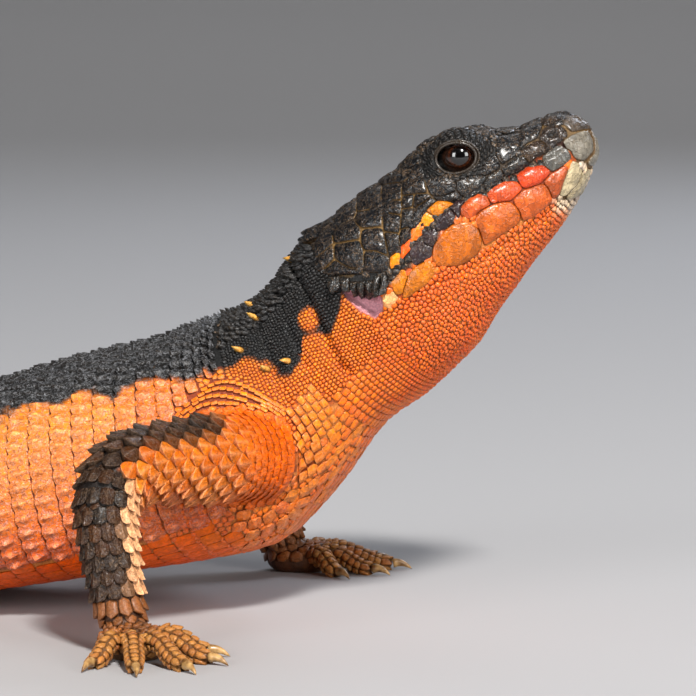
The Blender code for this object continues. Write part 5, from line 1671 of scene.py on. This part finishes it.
# %% Height of each scale
def plate_height(form):
    """Height over the skin at each point: a dome, a keel or a roof, creases, and a raised hind edge."""
    get, u, v, share = form.get, form.u, form.v, form.share
    long = np.where(get("half_v") > 0, get("half_v"), get("size") * np.sqrt(get("stretch")))
    wide = np.where(get("half_u") > 0, get("half_u"), get("size"))
    form.hind = hind = np.clip(v / (2.4 * long) + 0.5, 0.0, 1.6)
    form.aside = aside = (1 - form.backwards**2) * get("soft")
    spread = 1 - np.where(share < 0.9, 0.0, np.where(share < 0.97, 0.07, 0.45)) * (1 - aside)
    form.line = np.exp(-((u / (0.17 * get("size"))) ** 2)) * (0.25 + 0.75 * hind)
    form.lump = np.exp(-((u / (0.34 * get("size"))) ** 2) - ((v / get("size") - 0.35) / 0.42) ** 2)
    keel = (form.line * (1 - 0.6 * get("mound")) + 1.1 * form.lump * get("mound")) * spread
    prow = np.maximum(1 - np.abs(u) / (1.1 * wide), 0.0) * (0.15 + 0.85 * hind)
    form.grain = mottle((form.base + 17.0).reshape(-1, 3), 0.45, 81).reshape(u.shape)
    ridge = np.cos(7 * np.arctan2(u, v + 0.4 * get("size")) + form.chance(5) * 6.0)
    crest = get("dome") * (1 - share**2 * (1 - aside)) + get("keel") * keel + get("roof") * prow
    form.crest = crest + get("rough") * (0.55 * form.grain + 0.45 * ridge * share) * (share < 0.9)
    form.hole = nostril_share(form.base) * (get("shape") >= 0)
    height = get("thick") * spread + form.crest + get("tilt") * hind**1.6 - 0.5 * form.hole
    return np.where(form.under, np.minimum(height * 0.3, 0.1) - ROOT_DEPTH, height)


# %% Colour of each scale, with painted shade and highlight
def own_markings(form, chosen):
    """The seed's colour, and over it the body's black where the ragged edge runs through a scale."""
    own = np.broadcast_to(bed["colour"][chosen][:, None], form.base.shape)
    if not bed["marked"][chosen].any():
        return own
    along = (bed["unwrap"][chosen, 0] - SHEET_LEFT) / SHEET_LONG * ALONG[-1]
    round_share = np.abs(bed["unwrap"][chosen, 1] - SHEET_MIDDLE) / SHEET_HIGH
    each = form.u.shape[1]
    dark = darkness(form.spots, np.repeat(round_share, each), np.repeat(along, each)).reshape(form.u.shape)
    dark = dark * form.get("marked") * (1 - 0.6 * tail_tint(along)[:, None])
    return blend(own, patches(form.grain, BLACK, SOOT, 0.5, 0.6), dark)


def plate_colour(form, chosen):
    """Markings with painted shade: darker in the hollows, at the rims and round each mound's foot; edges,
    keels and mounds paler, partly worn horn and partly painted highlight; seams are dark, roots darker still
    as painted shade, and the nostrils' pits are painted near black as shade.
    """
    get, share = form.get, form.share
    # Painted shade in a ring round the foot of each mound.
    mound_foot_shade = np.hypot(form.u, form.v - 0.35 * get("size")) / get("size")
    mound_foot_shade = np.exp(-(((mound_foot_shade - 0.62) / 0.18) ** 2))
    # Painted shade and light: a scale is darker where it is low and lighter on its crest; chequer and grain
    # are each scale's own random tone.
    tone_and_shade = 0.82 + 0.28 * np.clip(form.crest / (get("dome") + get("keel") + get("roof") + 0.05), 0, 1.2)
    chequer = 0.22 * (form.chance(9) - 0.5) * (1 - 0.8 * get("soft"))
    tone_and_shade = tone_and_shade * (1 + chequer) * (1 - 0.35 * get("mound") * mound_foot_shade) + 0.10 * form.grain
    if (bed["shape"][chosen] >= 0).any():
        tone_and_shade = tone_and_shade * (1 + 0.30 * mottle(form.spots, 1.1, 83).reshape(form.u.shape))
    # Painted shade: the bevelled rim of each scale is darker.
    tone_and_shade = np.where(form.edge, tone_and_shade * (1 - 0.24 * (1 - form.aside)), tone_and_shade)
    own = own_markings(form, chosen)
    bright = np.clip(1.3 * own[..., 0], 0, 1)
    warmth = np.clip((own[..., 0] - own[..., 2]) / (own[..., 0] + 0.002), 0, 1)
    # Paler hind edges, keels and mounds: partly worn horn, partly painted highlight.
    wear_and_glint_colour = own * 0.72 + (0.06 + 0.31 * bright)[..., None] * blend(SLATE_WEAR_AND_GLINT, HORN_WEAR_AND_GLINT, warmth)
    keeled = (share < 0.95) * (get("keel") + get("roof") > 0.1)
    wear_and_glint = get("rim") * (form.edge & ~form.under) * smooth_step(-0.5, 0.5, form.backwards)
    wear_and_glint = np.maximum(wear_and_glint, (0.15 + 0.6 * get("rim")) * form.line * keeled)
    wear_and_glint = np.maximum(wear_and_glint, 0.8 * get("mound") * form.lump)
    colour = blend(own * tone_and_shade[..., None], wear_and_glint_colour, np.clip(wear_and_glint, 0, 1))
    seam = bed["seam"][chosen][:, None]
    cut_edge = (get("shape") >= 0) & (share >= 0.97)
    colour = np.where(cut_edge[..., None], blend(own, seam, 0.7), colour)
    # Painted shade: the nostrils' pits are near black.
    colour = blend(colour, BLACK * 0.3, form.hole)
    tipped = (get("tip") * smooth_step(0.85, 1.25, form.hind))[..., None]
    colour = colour * (1 - tipped) + tipped * SPINE_YELLOW
    # Painted shade: the roots under the skin show a darker copy of the seam colour.
    return np.clip(np.where(form.under[None, :, None], seam * 0.7, colour), 0.0, 1.0)


# %% Points of each scale
ROOT_DEPTH = 0.22


def grow(chosen, spokes, rings):
    """Points, colours, unwrap places, own places and the marks of edges of the chosen scales."""
    reach, direction = outline(chosen, spokes)
    rings = np.array(rings)
    rim, centre = len(rings) - 2, np.zeros((len(chosen), 1))
    corner = (reach[:, None, :] * rings[:, None])[..., None] * direction[:, None]
    u, v = (np.concatenate([centre, corner[..., k].reshape(len(chosen), -1)], axis=1) for k in (0, 1))
    ring_number = np.concatenate([[0], np.repeat(np.arange(len(rings)), spokes)])
    back, across = bed["back"][chosen][:, None], bed["across"][chosen][:, None]
    base = bed["place"][chosen][:, None] + u[..., None] * across + v[..., None] * back
    form = SimpleNamespace(
        get=lambda name: bed[name][chosen][:, None],
        chance=lambda salt: chance(bed["place"][chosen], salt)[:, None],
        u=u, v=v, base=base, spots=base.reshape(-1, 3), edge=ring_number >= rim, under=ring_number > rim,
        share=np.concatenate([[0.0], np.repeat(rings, spokes)]),
        backwards=np.concatenate([centre, np.tile(direction[:, :, 1], (1, len(rings)))], axis=1),
    )
    foot_point, foot_normal = on_skin(form.spots)
    foot_normal = unit(foot_normal.reshape(base.shape) + bed["normal"][chosen][:, None])
    height = plate_height(form)
    points = foot_point.reshape(base.shape) + foot_normal * height[..., None]
    points = points + back * (0.12 * form.get("tilt") * form.hind)[..., None]
    unwrap = bed["unwrap"][chosen][:, None] + 0.0013 * np.stack([v, u], axis=2) / form.get("size")[..., None]
    own = np.stack([u, v, np.broadcast_to(form.chance(3) * 40.0, u.shape)], axis=2)
    ring_of = np.broadcast_to(ring_number, u.shape)
    spoke_of = np.broadcast_to(np.concatenate([[0], np.tile(np.arange(spokes), len(rings))]), u.shape)
    middle = (spoke_of % (spokes // 2) == 0) & (form.get("roof") > 0.1)
    return points, plate_colour(form, chosen), unwrap, own, ring_of, middle, ring_of - rim


def plate_faces(spokes, rings):
    """Corner numbers of one scale: a fan in the middle, then bands of quads."""
    triangles = [(0, 1 + (j + 1) % spokes, 1 + j) for j in range(spokes)]
    quads = []
    for r in range(rings - 1):
        low, high = 1 + r * spokes, 1 + (r + 1) * spokes
        quads += [(low + j, low + (j + 1) % spokes, high + (j + 1) % spokes, high + j) for j in range(spokes)]
    return np.array(triangles), np.array(quads)


print("widest share of room left to a seam, mm:", round(float(bed["gap"].max()), 2))

# %% [markdown]
# ## The coat's pieces
# Thousands of small objects would be slow, so all scales of one kind become one mesh, written
# straight from arrays. Large scales get more rings and spokes than granules do. Keels and rims are
# marked as sharp edges, so that light breaks on them as it does on real horn.


# %% Build the coat pieces
CRISP = ("back", "belly", "head", "foreleg", "hindleg", "tail", "shoulder")


def paint(mesh, colours):
    """Gives each point of a mesh its colour, with any painted shade and highlight in it, which the materials
    read.
    """
    colours = np.broadcast_to(colours, (len(mesh.vertices), 3))
    solid = np.column_stack([colours, np.ones(len(colours))])
    # The attribute carries the markings together with painted shade and highlight.
    marking = mesh.attributes.new("marking", "FLOAT_COLOR", "POINT")
    marking.data.foreach_set("color", solid.astype(np.float32).ravel())


def coat_piece(name, batches):
    """One mesh of many scales, with their colour, their own millimetres and their unwrap."""
    columns, corners, starts = [[] for _ in range(7)], [], []
    shift, loops = 0, 0
    for grown, spokes, rings in batches:
        count, each = grown[0].shape[:2]
        base = shift + np.arange(count)[:, None, None] * each
        for kind in plate_faces(spokes, rings):
            block = (base + kind[None]).reshape(-1, kind.shape[1])
            starts.append(loops + np.arange(len(block)) * kind.shape[1])
            corners.append(block.ravel())
            loops += block.size
        for column, values in zip(columns, grown):
            column.append(values.reshape(count * each, -1))
        shift += count * each
    points, colours, unwraps, owns, ring_of, middle, past_rim = (np.vstack(part) for part in columns)
    corners, starts = np.concatenate(corners), np.concatenate(starts)
    points[:, 2] = np.maximum(points[:, 2], 0.0)
    mesh = bpy.data.meshes.new(name)
    mesh.vertices.add(len(points))
    set_points(mesh, points)
    mesh.loops.add(len(corners))
    mesh.loops.foreach_set("vertex_index", corners.astype(np.int32))
    mesh.polygons.add(len(starts))
    mesh.polygons.foreach_set("loop_start", starts.astype(np.int32))
    mesh.update(calc_edges=True)
    ends = np.empty(len(mesh.edges) * 2, np.int32)
    mesh.edges.foreach_get("vertices", ends)
    one, two = ends.reshape(-1, 2).T
    same_ring = ring_of[one] == ring_of[two]
    on_rim = same_ring & (past_rim[one] >= 0) & (past_rim[one] <= 1)
    on_keel = middle[one] & middle[two] & ~same_ring & (past_rim[one] <= 0) & (past_rim[two] <= 0)
    sharp = (on_keel | on_rim & name.startswith(CRISP)).ravel()
    mesh.attributes.new("sharp_edge", "BOOLEAN", "EDGE").data.foreach_set("value", sharp)
    paint(mesh, colours)
    own_place = mesh.attributes.new("own_place", "FLOAT_VECTOR", "POINT")
    own_place.data.foreach_set("vector", owns.astype(np.float32).ravel())
    layer = mesh.uv_layers.new(name="OFBake")
    layer.uv.foreach_set("vector", np.clip(unwraps[corners], 0.0, 1.0).astype(np.float32).ravel())
    smooth_faces(mesh)
    return new_object(name, mesh)


# %% Sort the scales by size and build
CUT_LOD = (36, (0.18, 0.38, 0.58, 0.76, 0.90, 0.96, 1.0, 0.93))
LODS = (
    # least size, spokes, rings as shares of the reach; the last ring is the root under the skin
    (0.95, 16, (0.30, 0.58, 0.80, 0.94, 1.0, 0.86)),
    (0.48, 8, (0.50, 0.86, 1.0, 0.86)),
    (0.00, 8, (0.64, 1.0, 0.88)),
)
MOST_TRIANGLES = 190000
coat, all_triangles = [], 0
for piece_number, piece_name in enumerate(PIECES):
    mine = np.flatnonzero(bed["piece"] == piece_number)
    is_cut = bed["shape"][mine] >= 0
    groups, ceiling = [(mine[is_cut], *CUT_LOD)], np.inf
    mine = mine[~is_cut]
    for least, spokes, rings in LODS:
        fits = mine[(bed["size"][mine] >= least) & (bed["size"][mine] < ceiling)]
        groups.append((fits, spokes, rings))
        ceiling = least
    cost = sum(len(fits) * spokes * (2 * len(rings) - 1) for fits, spokes, rings in groups)
    all_triangles += cost
    parts = int(np.ceil(cost / MOST_TRIANGLES))
    for part in range(parts):
        batches = []
        for fits, spokes, rings in groups:
            share_of = np.array_split(fits, parts)[part]
            if len(share_of):
                batches.append((grow(share_of, spokes, rings), spokes, len(rings)))
        coat.append(coat_piece(f"{piece_name}_{part + 1}" if parts > 1 else piece_name, batches))
        print(coat[-1].name, "faces", len(coat[-1].data.polygons))
print("coat triangles:", all_triangles)

# %% [markdown]
# ## Colour of the skin between the scales
# The skin shows only in the seams. Each of its points takes the seam colour of the nearest scale,
# so skin and coat carry the same markings. The ear's drum is bare and pinkish, and the nostrils' pits
# are painted near black as shade.

# %% Colour the skin
seam_colour = bed["seam"][[near.find(point)[1] for point in skin_points.tolist()]]
drum = (1 - smooth_step(0.8, 1.02, ear_share(skin_points))) * (np.abs(skin_points[:, 1]) > EAR_MIN_Y)
seam_colour = blend(seam_colour, EAR_PINK, drum)
# Painted shade: the nostrils' pits are near black.
seam_colour = blend(seam_colour, BLACK * 0.3, nostril_share(skin_points))
paint(skin.data, seam_colour)
smooth_faces(skin.data)
print("skin points coloured:", len(seam_colour))


# %% [markdown]
# ## Materials
# Scales are keratin: a hard, slightly waxy horn. On a girdled lizard it is rugose, so each scale
# glints in many small flecks. One noise in the animal's own space mottles the colour, darker in its
# creases as painted shade, and pales it along thin crest lines, partly as worn horn and partly as
# painted glints; creases of about 0.4 mm give the flecks, and fine ridges run along each scale from
# its root to its tip.

# %% Small helpers for materials
def fill(node, inputs):
    """Fills a node's inputs with values, or links them to another node's output."""
    for name, value in inputs.items():
        if isinstance(value, bpy.types.NodeSocket):
            node.id_data.links.new(value, node.inputs[name])
        else:
            node.inputs[name].default_value = value
    return node


def add(tree, kind, inputs=None, **settings):
    """Adds a node, gives it settings, and fills or links its inputs."""
    node = tree.nodes.new(kind)
    for name, value in settings.items():
        setattr(node, name, value)
    return fill(node, inputs or {})


def new_material(name):
    """A new material with its node tree and its shader."""
    material = bpy.data.materials.new(name)
    material.use_nodes = True
    return material, material.node_tree, material.node_tree.nodes["Principled BSDF"]


# %% Keratin
def keratin(name, roughness, crease_mm, crease_depth, ridge_mm, ridge_depth, coat_weight, pale, shine=0.5):
    """Horn over pigment: the colour attribute gives the markings, painted shade darkens the creases, pale
    crest lines that are partly worn horn and partly painted glints lighten it, and creases break the
    highlights.
    """
    material, tree, shader = new_material(name)
    # Pale crest colour: partly worn horn, partly a painted glint, bluish on the shinier kinds.
    crest_wear_and_glint = pale * (HORN_WEAR_AND_GLINT if shine < 0.5 else SLATE_WEAR_AND_GLINT)
    colour = add(tree, "ShaderNodeAttribute", attribute_name="marking").outputs["Color"]
    place = add(tree, "ShaderNodeTexCoord").outputs["Object"]
    crease = add(
        tree, "ShaderNodeTexNoise",
        {"Vector": place, "Scale": 1 / (crease_mm * MM), "Detail": 2.0, "Roughness": 0.5, "Distortion": 0.8},
    ).outputs["Fac"]
    off_middle = add(tree, "ShaderNodeMath", {0: crease, 1: 0.5}, operation="SUBTRACT").outputs["Value"]
    off_middle = add(tree, "ShaderNodeMath", {0: off_middle}, operation="ABSOLUTE").outputs["Value"]
    wrinkle = add(
        tree, "ShaderNodeMapRange",
        {"Value": off_middle, "From Min": 0.0, "From Max": 0.045, "To Min": 1.0, "To Max": 0.0},
    ).outputs["Result"]
    # Painted shade and light: the colour is darker in the noise's creases and lighter on its crests.
    shade, gloss = (
        add(
            tree, "ShaderNodeMapRange",
            {"Value": crease, "From Min": 0.3, "From Max": 0.7, "To Min": low, "To Max": high},
        ).outputs["Result"]
        for low, high in ((0.70, 1.12), (roughness + 0.12, roughness - 0.08))
    )
    crease_shaded = add(tree, "ShaderNodeVectorMath", {0: colour, 1: shade}, operation="MULTIPLY").outputs["Vector"]
    # Thin lines along the creases are paled: partly worn horn, partly painted glints.
    crest = add(
        tree, "ShaderNodeVectorMath", {0: crease_shaded, 1: (0.9, 0.9, 0.9), 2: tuple(crest_wear_and_glint)},
        operation="MULTIPLY_ADD",
    ).outputs["Vector"]
    wear_and_glint = add(tree, "ShaderNodeMix", {"Factor": wrinkle, 6: crease_shaded, 7: crest}, data_type="RGBA").outputs[2]
    heights = [(wrinkle, crease_depth * 0.35), (crease, crease_depth)]
    if ridge_depth:
        own = add(tree, "ShaderNodeAttribute", attribute_name="own_place").outputs["Vector"]
        drawn = add(tree, "ShaderNodeMapping", {"Vector": own, "Scale": (1 / ridge_mm, 0.22 / ridge_mm, 1.0)})
        drawn = drawn.outputs["Vector"]
        ridges = add(tree, "ShaderNodeTexNoise", {"Vector": drawn, "Scale": 1.0, "Detail": 1.5})
        heights.append((ridges.outputs["Fac"], ridge_depth))
    below = {}
    for height, depth in heights:
        settings = {"Height": height, "Strength": 1.0, "Distance": depth * MM, **below}
        below = {"Normal": add(tree, "ShaderNodeBump", settings).outputs["Normal"]}
    fill(shader, {
        "Base Color": wear_and_glint, "Roughness": gloss, "IOR": 1.48, "Specular IOR Level": shine,
        "Coat Weight": coat_weight, "Coat Roughness": 0.2, **below,
    })
    return material


# %% A keratin for each piece
KERATIN = {
    # piece: name, roughness, crease mm, crease depth mm, ridge mm, ridge depth mm, coat, pale crests (wear
    # and painted glint), shine
    "back_scutes": ("rough keratin", 0.34, 0.62, 0.28, 0.30, 0.10, 0.06, 0.22, 0.5),
    "belly_plates": ("smooth keratin", 0.42, 0.60, 0.06, 0.40, 0.05, 0.02, 0.02, 0.15),
    "neck_scales": ("granular keratin", 0.44, 0.50, 0.14, 0.0, 0.0, 0.0, 0.06, 0.5),
    "throat_scales": ("waxy keratin", 0.34, 0.60, 0.12, 0.0, 0.0, 0.12, 0.12, 0.35),
    "shoulder_scales": ("folded keratin", 0.36, 0.60, 0.16, 0.0, 0.0, 0.08, 0.16, 0.35),
    "head_shields": ("rugose keratin", 0.24, 0.62, 0.34, 0.34, 0.16, 0.22, 0.10, 0.38),
    "jaw_shields": ("polished keratin", 0.28, 0.80, 0.22, 0.0, 0.0, 0.18, 0.05, 0.35),
    "lid_scales": ("lid keratin", 0.38, 0.40, 0.06, 0.0, 0.0, 0.05, 0.03, 0.28),
    "foreleg_scales": ("keeled keratin", 0.36, 0.60, 0.22, 0.26, 0.18, 0.04, 0.08, 0.28),
    "hindleg_scales": ("keeled keratin hind", 0.36, 0.60, 0.22, 0.26, 0.18, 0.04, 0.08, 0.28),
    "hand_scales": ("toe keratin", 0.40, 0.40, 0.08, 0.0, 0.0, 0.05, 0.10, 0.35),
    "foot_scales": ("toe keratin hind", 0.40, 0.40, 0.08, 0.0, 0.0, 0.05, 0.10, 0.35),
    "tail_spines": ("spine keratin", 0.40, 0.60, 0.16, 0.30, 0.14, 0.06, 0.10, 0.35),
}
SLOTS = {
    "head_shields": "dark_skin", "lid_scales": "dark_skin", "foreleg_scales": "brown_skin",
    "hindleg_scales": "brown_skin", "hand_scales": "brown_skin", "foot_scales": "brown_skin",
    "tail_spines": "brown_skin",
}
made_keratin = {kind: keratin(*values) for kind, values in KERATIN.items()}
print("kinds of keratin:", len(made_keratin))

# %% Dress the skin, the coat and the lid rims
skin.data.materials.clear()
skin.data.materials.append(keratin("bare skin", 0.55, 0.30, 0.12, 0.0, 0.0, 0.0, 0.0))
FLESH_NODES = [n for n in frame["nodes"] if not n.startswith(("claw", "eye"))]
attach(skin, "root")
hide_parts(*FLESH_NODES)
for piece in coat:
    kind = next(k for k in KERATIN if piece.name.startswith(k))
    piece.data.materials.append(made_keratin[kind])
    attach(piece, "root")
    SLOTS.get(kind, "orange_skin")
lid_horn = keratin("lid rim", 0.30, 0.5, 0.04, 0.0, 0.0, 0.3, 0.02)
for rim in lid_rims:
    paint(rim.data, blend(BLACK, HORN_BROWN, 0.14))
    spot = np.tile(body_unwrap([18.0], [0.3], 1.0)[0], len(rim.data.loops))
    rim.data.uv_layers.new(name="OFBake").uv.foreach_set("vector", spot.astype(np.float32))
    smooth_faces(rim.data)
    rim.data.materials.append(lid_horn)
    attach(rim, "root")
print("coat pieces:", len(coat) + len(lid_rims))

# %% [markdown]
# ## Eyes
# The eye is a wet ball with a black round pupil in a dark brown iris. The cornea bulges a little,
# so the front of the ball is drawn out, and a clear coat gives the wet light.

# %% Eyeballs
GAZE = unit([0.16, 1.0, 0.10])
PUPIL_MM, IRIS_MM = 1.25, 2.45
CORNEA_BULGE_MM = 0.22


def eye_colours(local, gaze):
    """A black pupil, a rust ring, a streaked brown iris and a dark rim, by distance from the gaze."""
    radial = local - dot(local, gaze)[:, None] * gaze
    off_axis = np.linalg.norm(radial, axis=1)
    spin = np.arctan2(radial[:, 2], radial[:, 0])
    streak = 0.5 + 0.5 * np.cos(23 * spin) * np.cos(7 * spin + 1)
    ring = np.exp(-(((off_axis - PUPIL_MM - 0.10) / 0.09) ** 2))
    iris = blend(linear("#160C08"), linear("#2E1A10"), streak * smooth_step(1.5, 2.3, off_axis))
    iris = blend(iris, linear("#9A4A1C"), 0.7 * ring * streak)
    colour = blend(linear("#050404"), iris, smooth_step(PUPIL_MM - 0.06, PUPIL_MM + 0.06, off_axis))
    return blend(colour, linear("#0E0A08"), smooth_step(IRIS_MM - 0.35, IRIS_MM + 0.1, off_axis))


for side, word in ((1.0, "left"), (-1.0, "right")):
    bpy.ops.object.select_all(action="DESELECT")
    bpy.ops.mesh.primitive_uv_sphere_add(segments=64, ring_count=40, radius=EYE_RADIUS * MM)
    ball = bpy.context.active_object
    ball.name = ball.data.name = f"eyeball_{word}"
    middle, gaze = EYE * (1, side, 1), GAZE * (1, side, 1)
    ball.rotation_euler = Vector(gaze).to_track_quat("Z", "Y").to_euler()
    for vertex in ball.data.vertices:
        off_axis = np.hypot(vertex.co.x, vertex.co.y) / MM
        if vertex.co.z > 0:
            vertex.co.z += CORNEA_BULGE_MM * MM * float(1 - smooth_step(0.6, 2.3, off_axis))
    ball.location = (middle + SHIFT) * MM
    bpy.ops.object.transform_apply(location=True, rotation=True, scale=True)
    bpy.ops.object.shade_smooth()
    paint(ball.data, eye_colours(vertex_array(ball.data) - middle, gaze))
    wet, tree, shader = new_material(f"wet cornea {word}")
    seen = add(tree, "ShaderNodeAttribute", attribute_name="marking").outputs["Color"]
    fill(shader, {
        "Base Color": seen, "Roughness": 0.12, "IOR": 1.38, "Coat Weight": 1.0, "Coat Roughness": 0.02,
    })
    ball.data.materials.append(wet)
    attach(ball, "root")
    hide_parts(f"eye_{word}")
print("eyes made")

# %% [markdown]
# ## Claws
# A claw is a curved cone of clear brown horn, darker towards its root; here it is drawn opaque and
# streaked light and dark by noise. Each is a tapered tube with its root just inside the toe's skin.

# %% Claws
horn, tree, shader = new_material("claw horn")
place = add(tree, "ShaderNodeTexCoord").outputs["Object"]
bands = add(tree, "ShaderNodeTexNoise", {"Vector": place, "Scale": 900.0, "Detail": 2.0})
ramp = add(tree, "ShaderNodeValToRGB", {"Fac": bands.outputs["Fac"]})
for stop, (position, code) in zip(ramp.color_ramp.elements, ((0.35, "#6A4824"), (0.7, "#C49C64"))):
    stop.position, stop.color = position, (*linear(code), 1)
fill(shader, {"Base Color": ramp.outputs["Color"], "Roughness": 0.3})
for limb_name, (_, foot, _) in LIMBS.items():
    word = ("hand_" if "fore" in limb_name else "foot_") + limb_name.split("_")[1]
    for number, path in enumerate(foot.claws, 1):
        if "hind" in limb_name:
            path = sway(path)
        radii = np.interp(np.linspace(0, 1, len(path)), (0, 0.35, 0.7, 1), (0.74, 0.58, 0.34, 0.08))
        rings = round_rings(path, radii, 12, 0.85)[:-1]
        claw = tube(f"horn_claw_{word}_{number}", rings, (path[0], path[-1]))
        claw.data.materials.append(horn)
        smooth_faces(claw.data)
        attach(claw, "root")
        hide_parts(f"claw_{word}_{number}")
print("claws made")

# %% [markdown]
# ## Floor, light and camera
# A plain pale floor and large soft lamps, as in a studio. The camera stands where the photograph
# was taken: a little ahead of the side, a little above the animal.

# %% Floor and lamps
BOWL = ((1.2, 0.0), (2.0, 0.0), (2.8, 0.08), (3.6, 0.35), (4.4, 0.9), (5.0, 1.7), (5.3, 2.7))  # metres
turn = 2 * np.pi * np.arange(96) / 96
rings = [np.column_stack([r * np.cos(turn), r * np.sin(turn), np.full(96, z)]) / MM - SHIFT for r, z in BOWL]
floor = tube("floor", rings, ([0.0, 0.0, 0.0] - SHIFT, None))
smooth_faces(floor.data)
plaster, _, shader = new_material("matt floor")
fill(shader, {"Base Color": (*linear("#A6A6A8"), 1), "Roughness": 0.8})
floor.data.materials.append(plaster)

world = bpy.data.worlds.new("studio")
bpy.context.scene.world = world
world.use_nodes = True
fill(world.node_tree.nodes["Background"], {"Color": (*linear("#E6E6E6"), 1), "Strength": 0.15})


def soft_lamp(name, place, target, size, power, tint="#FFFFFF"):
    """A square studio lamp that faces its target."""
    lamp = bpy.data.lights.new(name, "AREA")
    lamp.size, lamp.energy = size, power
    lamp.color = tuple(linear(tint))
    made = new_object(name, lamp)
    made.location = place
    made.rotation_euler = (Vector(target) - Vector(place)).to_track_quat("-Z", "Y").to_euler()


HEAD_PLACE = (np.array((10.0, 0.0, 40.0)) + SHIFT) * MM
soft_lamp("key", HEAD_PLACE + (0.50, -0.95, 0.98), HEAD_PLACE, 0.18, 34.0, "#FFFBF6")
soft_lamp("front", HEAD_PLACE + (1.25, -0.85, 0.45), HEAD_PLACE, 0.6, 10.0)
soft_lamp("side", HEAD_PLACE + (-0.80, -1.50, 0.40), HEAD_PLACE, 0.7, 16.0)
soft_lamp("rim", HEAD_PLACE + (0.45, 1.10, 0.85), HEAD_PLACE, 0.4, 7.0, "#EAF2FF")
soft_lamp("backdrop", (-0.3, 2.2, 2.0), (-0.4, 2.6, 0.0), 1.6, 14.0)
bpy.context.scene.view_settings.view_transform = "Standard"
print("lamps lit")

# %% Camera
VIEW_AZIMUTH_DEG, VIEW_ELEVATION_DEG = 12.0, 5.0
VIEW_DISTANCE, VIEW_WIDTH, SENSOR = 550.0, 98.0, 36.0
VIEW_TARGET = np.array((14.1, 0.0, 37.4))
turn, lift = np.radians(VIEW_AZIMUTH_DEG), np.radians(VIEW_ELEVATION_DEG)
towards_camera = np.array((np.sin(turn) * np.cos(lift), -np.cos(turn) * np.cos(lift), np.sin(lift)))
camera_data = bpy.data.cameras.new("camera")
camera_data.sensor_width = SENSOR
camera_data.lens = SENSOR * VIEW_DISTANCE / VIEW_WIDTH
camera = new_object("camera", camera_data)
camera.location = (VIEW_TARGET + SHIFT + towards_camera * VIEW_DISTANCE) * MM
camera.rotation_euler = Vector(-towards_camera).to_track_quat("-Z", "Y").to_euler()
bpy.context.scene.camera = camera
print("camera lens, mm:", round(camera_data.lens, 1))
